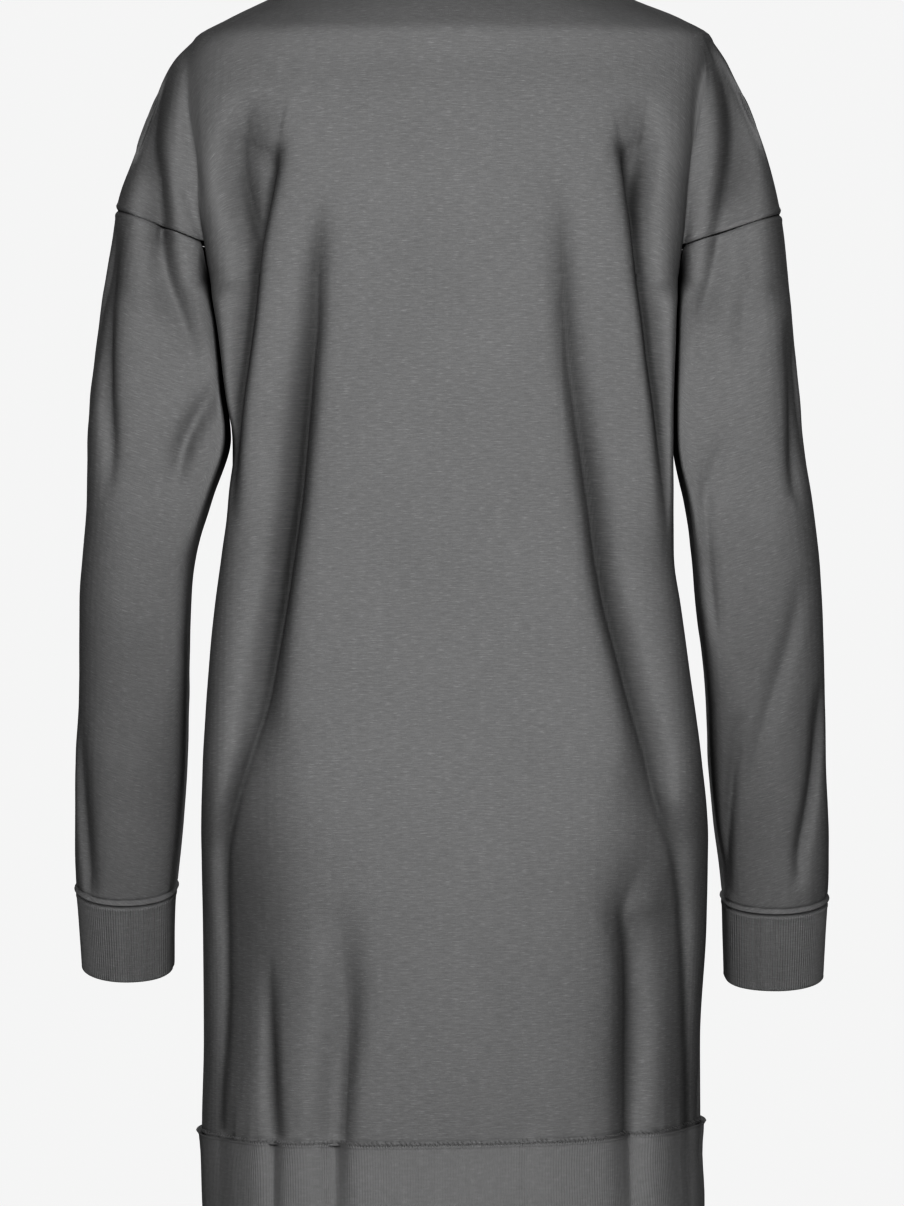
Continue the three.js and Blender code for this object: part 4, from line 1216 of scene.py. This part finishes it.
def hem_stitches(edge, sy):
    low, high = along(edge["low"], 3.25, 3), along(edge["high"], 3.25, 3)
    n = min(len(low), len(high))
    low, high = low[:n], high[:n]
    rnd = np.random.RandomState(91 if sy > 0 else 92)
    lift = rnd.uniform(0.35, 1.0, (n, 1))
    high = low + (high - low) * lift
    tangent = np.gradient(low, axis=0)
    outs = np.cross(tangent, np.array([0, 0, 1.0]))
    outs /= np.linalg.norm(outs, axis=1, keepdims=True)
    outs *= np.sign(outs[:, 1:2] * sy + 1e-9)
    return capsules("stitches_hem_" + ("back" if sy > 0 else "front"), low, high, outs, 0.28, "root")


stitches = {"back": hem_stitches(back_edge, 1), "front": hem_stitches(front_edge, -1)}

# ---------------------------------------------------------------- camera, floor, light
scene = bpy.context.scene


def aimed(ob, target):
    d = np.array(target, float) - np.array(ob.location)
    from mathutils import Vector

    ob.rotation_euler = Vector(d).to_track_quat("-Z", "Y").to_euler()


ELEVATION, DISTANCE = 1.0, 4.0
cam = bpy.data.cameras.new("camera")
camera = bpy.data.objects.new("camera", cam)
scene.collection.objects.link(camera)
e = math.radians(ELEVATION)
camera.location = (0, DISTANCE * math.cos(e), -0.444 + DISTANCE * math.sin(e))
aimed(camera, (0, 0, -0.444))
cam.sensor_width = 36
cam.sensor_fit = "AUTO"
cam.lens = 36 * DISTANCE / 0.856
cam.clip_end = 50
scene.camera = camera


def area_light(name, where, target, w, h, power, angle=None):
    data = bpy.data.lights.new(name, "AREA")
    data.shape = "RECTANGLE"
    data.size, data.size_y = w, h
    data.energy = power
    ob = bpy.data.objects.new(name, data)
    scene.collection.objects.link(ob)
    ob.location = where
    aimed(ob, target)
    ob.visible_camera = False
    return ob


area_light("back_softbox", (0.0, 1.2, -0.08), (0, 0, -0.15), 1.6, 2.2, 23.0)
area_light("front_softbox", (0.0, -1.2, -0.08), (0, 0, -0.15), 1.6, 2.2, 23.0)
for sx, name in ((1, "left"), (-1, "right")):
    area_light("side_" + name, (1.6 * sx, 0.2, -0.3), (0, 0, -0.4), 0.8, 1.4, 1.5)

world = bpy.data.worlds.new("world")
scene.world = world
world.use_nodes = True
nt = world.node_tree
nt.nodes.clear()
out = nt.nodes.new("ShaderNodeOutputWorld")
seen, dim = nt.nodes.new("ShaderNodeBackground"), nt.nodes.new("ShaderNodeBackground")
seen.inputs["Color"].default_value = (0.548, 0.548, 0.548, 1)
dim.inputs["Color"].default_value = (1, 1, 1, 1)
dim.inputs["Strength"].default_value = 0.02
path = nt.nodes.new("ShaderNodeLightPath")
blend = nt.nodes.new("ShaderNodeMixShader")
nt.links.new(path.outputs["Is Camera Ray"], blend.inputs[0])
nt.links.new(dim.outputs[0], blend.inputs[1])
nt.links.new(seen.outputs[0], blend.inputs[2])
nt.links.new(blend.outputs[0], out.inputs["Surface"])

floor_mesh = bpy.data.meshes.new("floor")
ring = [(3.2 * math.cos(a), 3.2 * math.sin(a), -1.42) for a in np.linspace(0, 2 * math.pi, 97)[:-1]]
floor_mesh.from_pydata(ring, [], [list(range(96))])
floor = bpy.data.objects.new("floor", floor_mesh)
scene.collection.objects.link(floor)
floor_mat, _, sh = nodes_of("floor")
sh.inputs["Base Color"].default_value = (0.8, 0.8, 0.8, 1)
sh.inputs["Emission Color"].default_value = (0.44, 0.44, 0.44, 1)
sh.inputs["Emission Strength"].default_value = 1.0
floor_mesh.materials.append(floor_mat)
floor.visible_diffuse = False
floor.visible_glossy = False

scene.view_settings.view_transform = "Standard"
scene.view_settings.look = "Very High Contrast"

# ---------------------------------------------------------------- sizes, in metres
bpy.context.view_layer.update()
lo, hi = np.full(3, 1e9), np.full(3, -1e9)
for ob in [back, front, neck, hem, *sleeves.values(), *cuffs.values(), *stitches.values()]:
    co = np.empty(len(ob.data.vertices) * 3, np.float32)
    ob.data.vertices.foreach_get("co", co)
    co = co.reshape(-1, 3)
    lo, hi = np.minimum(lo, co.min(0)), np.maximum(hi, co.max(0))
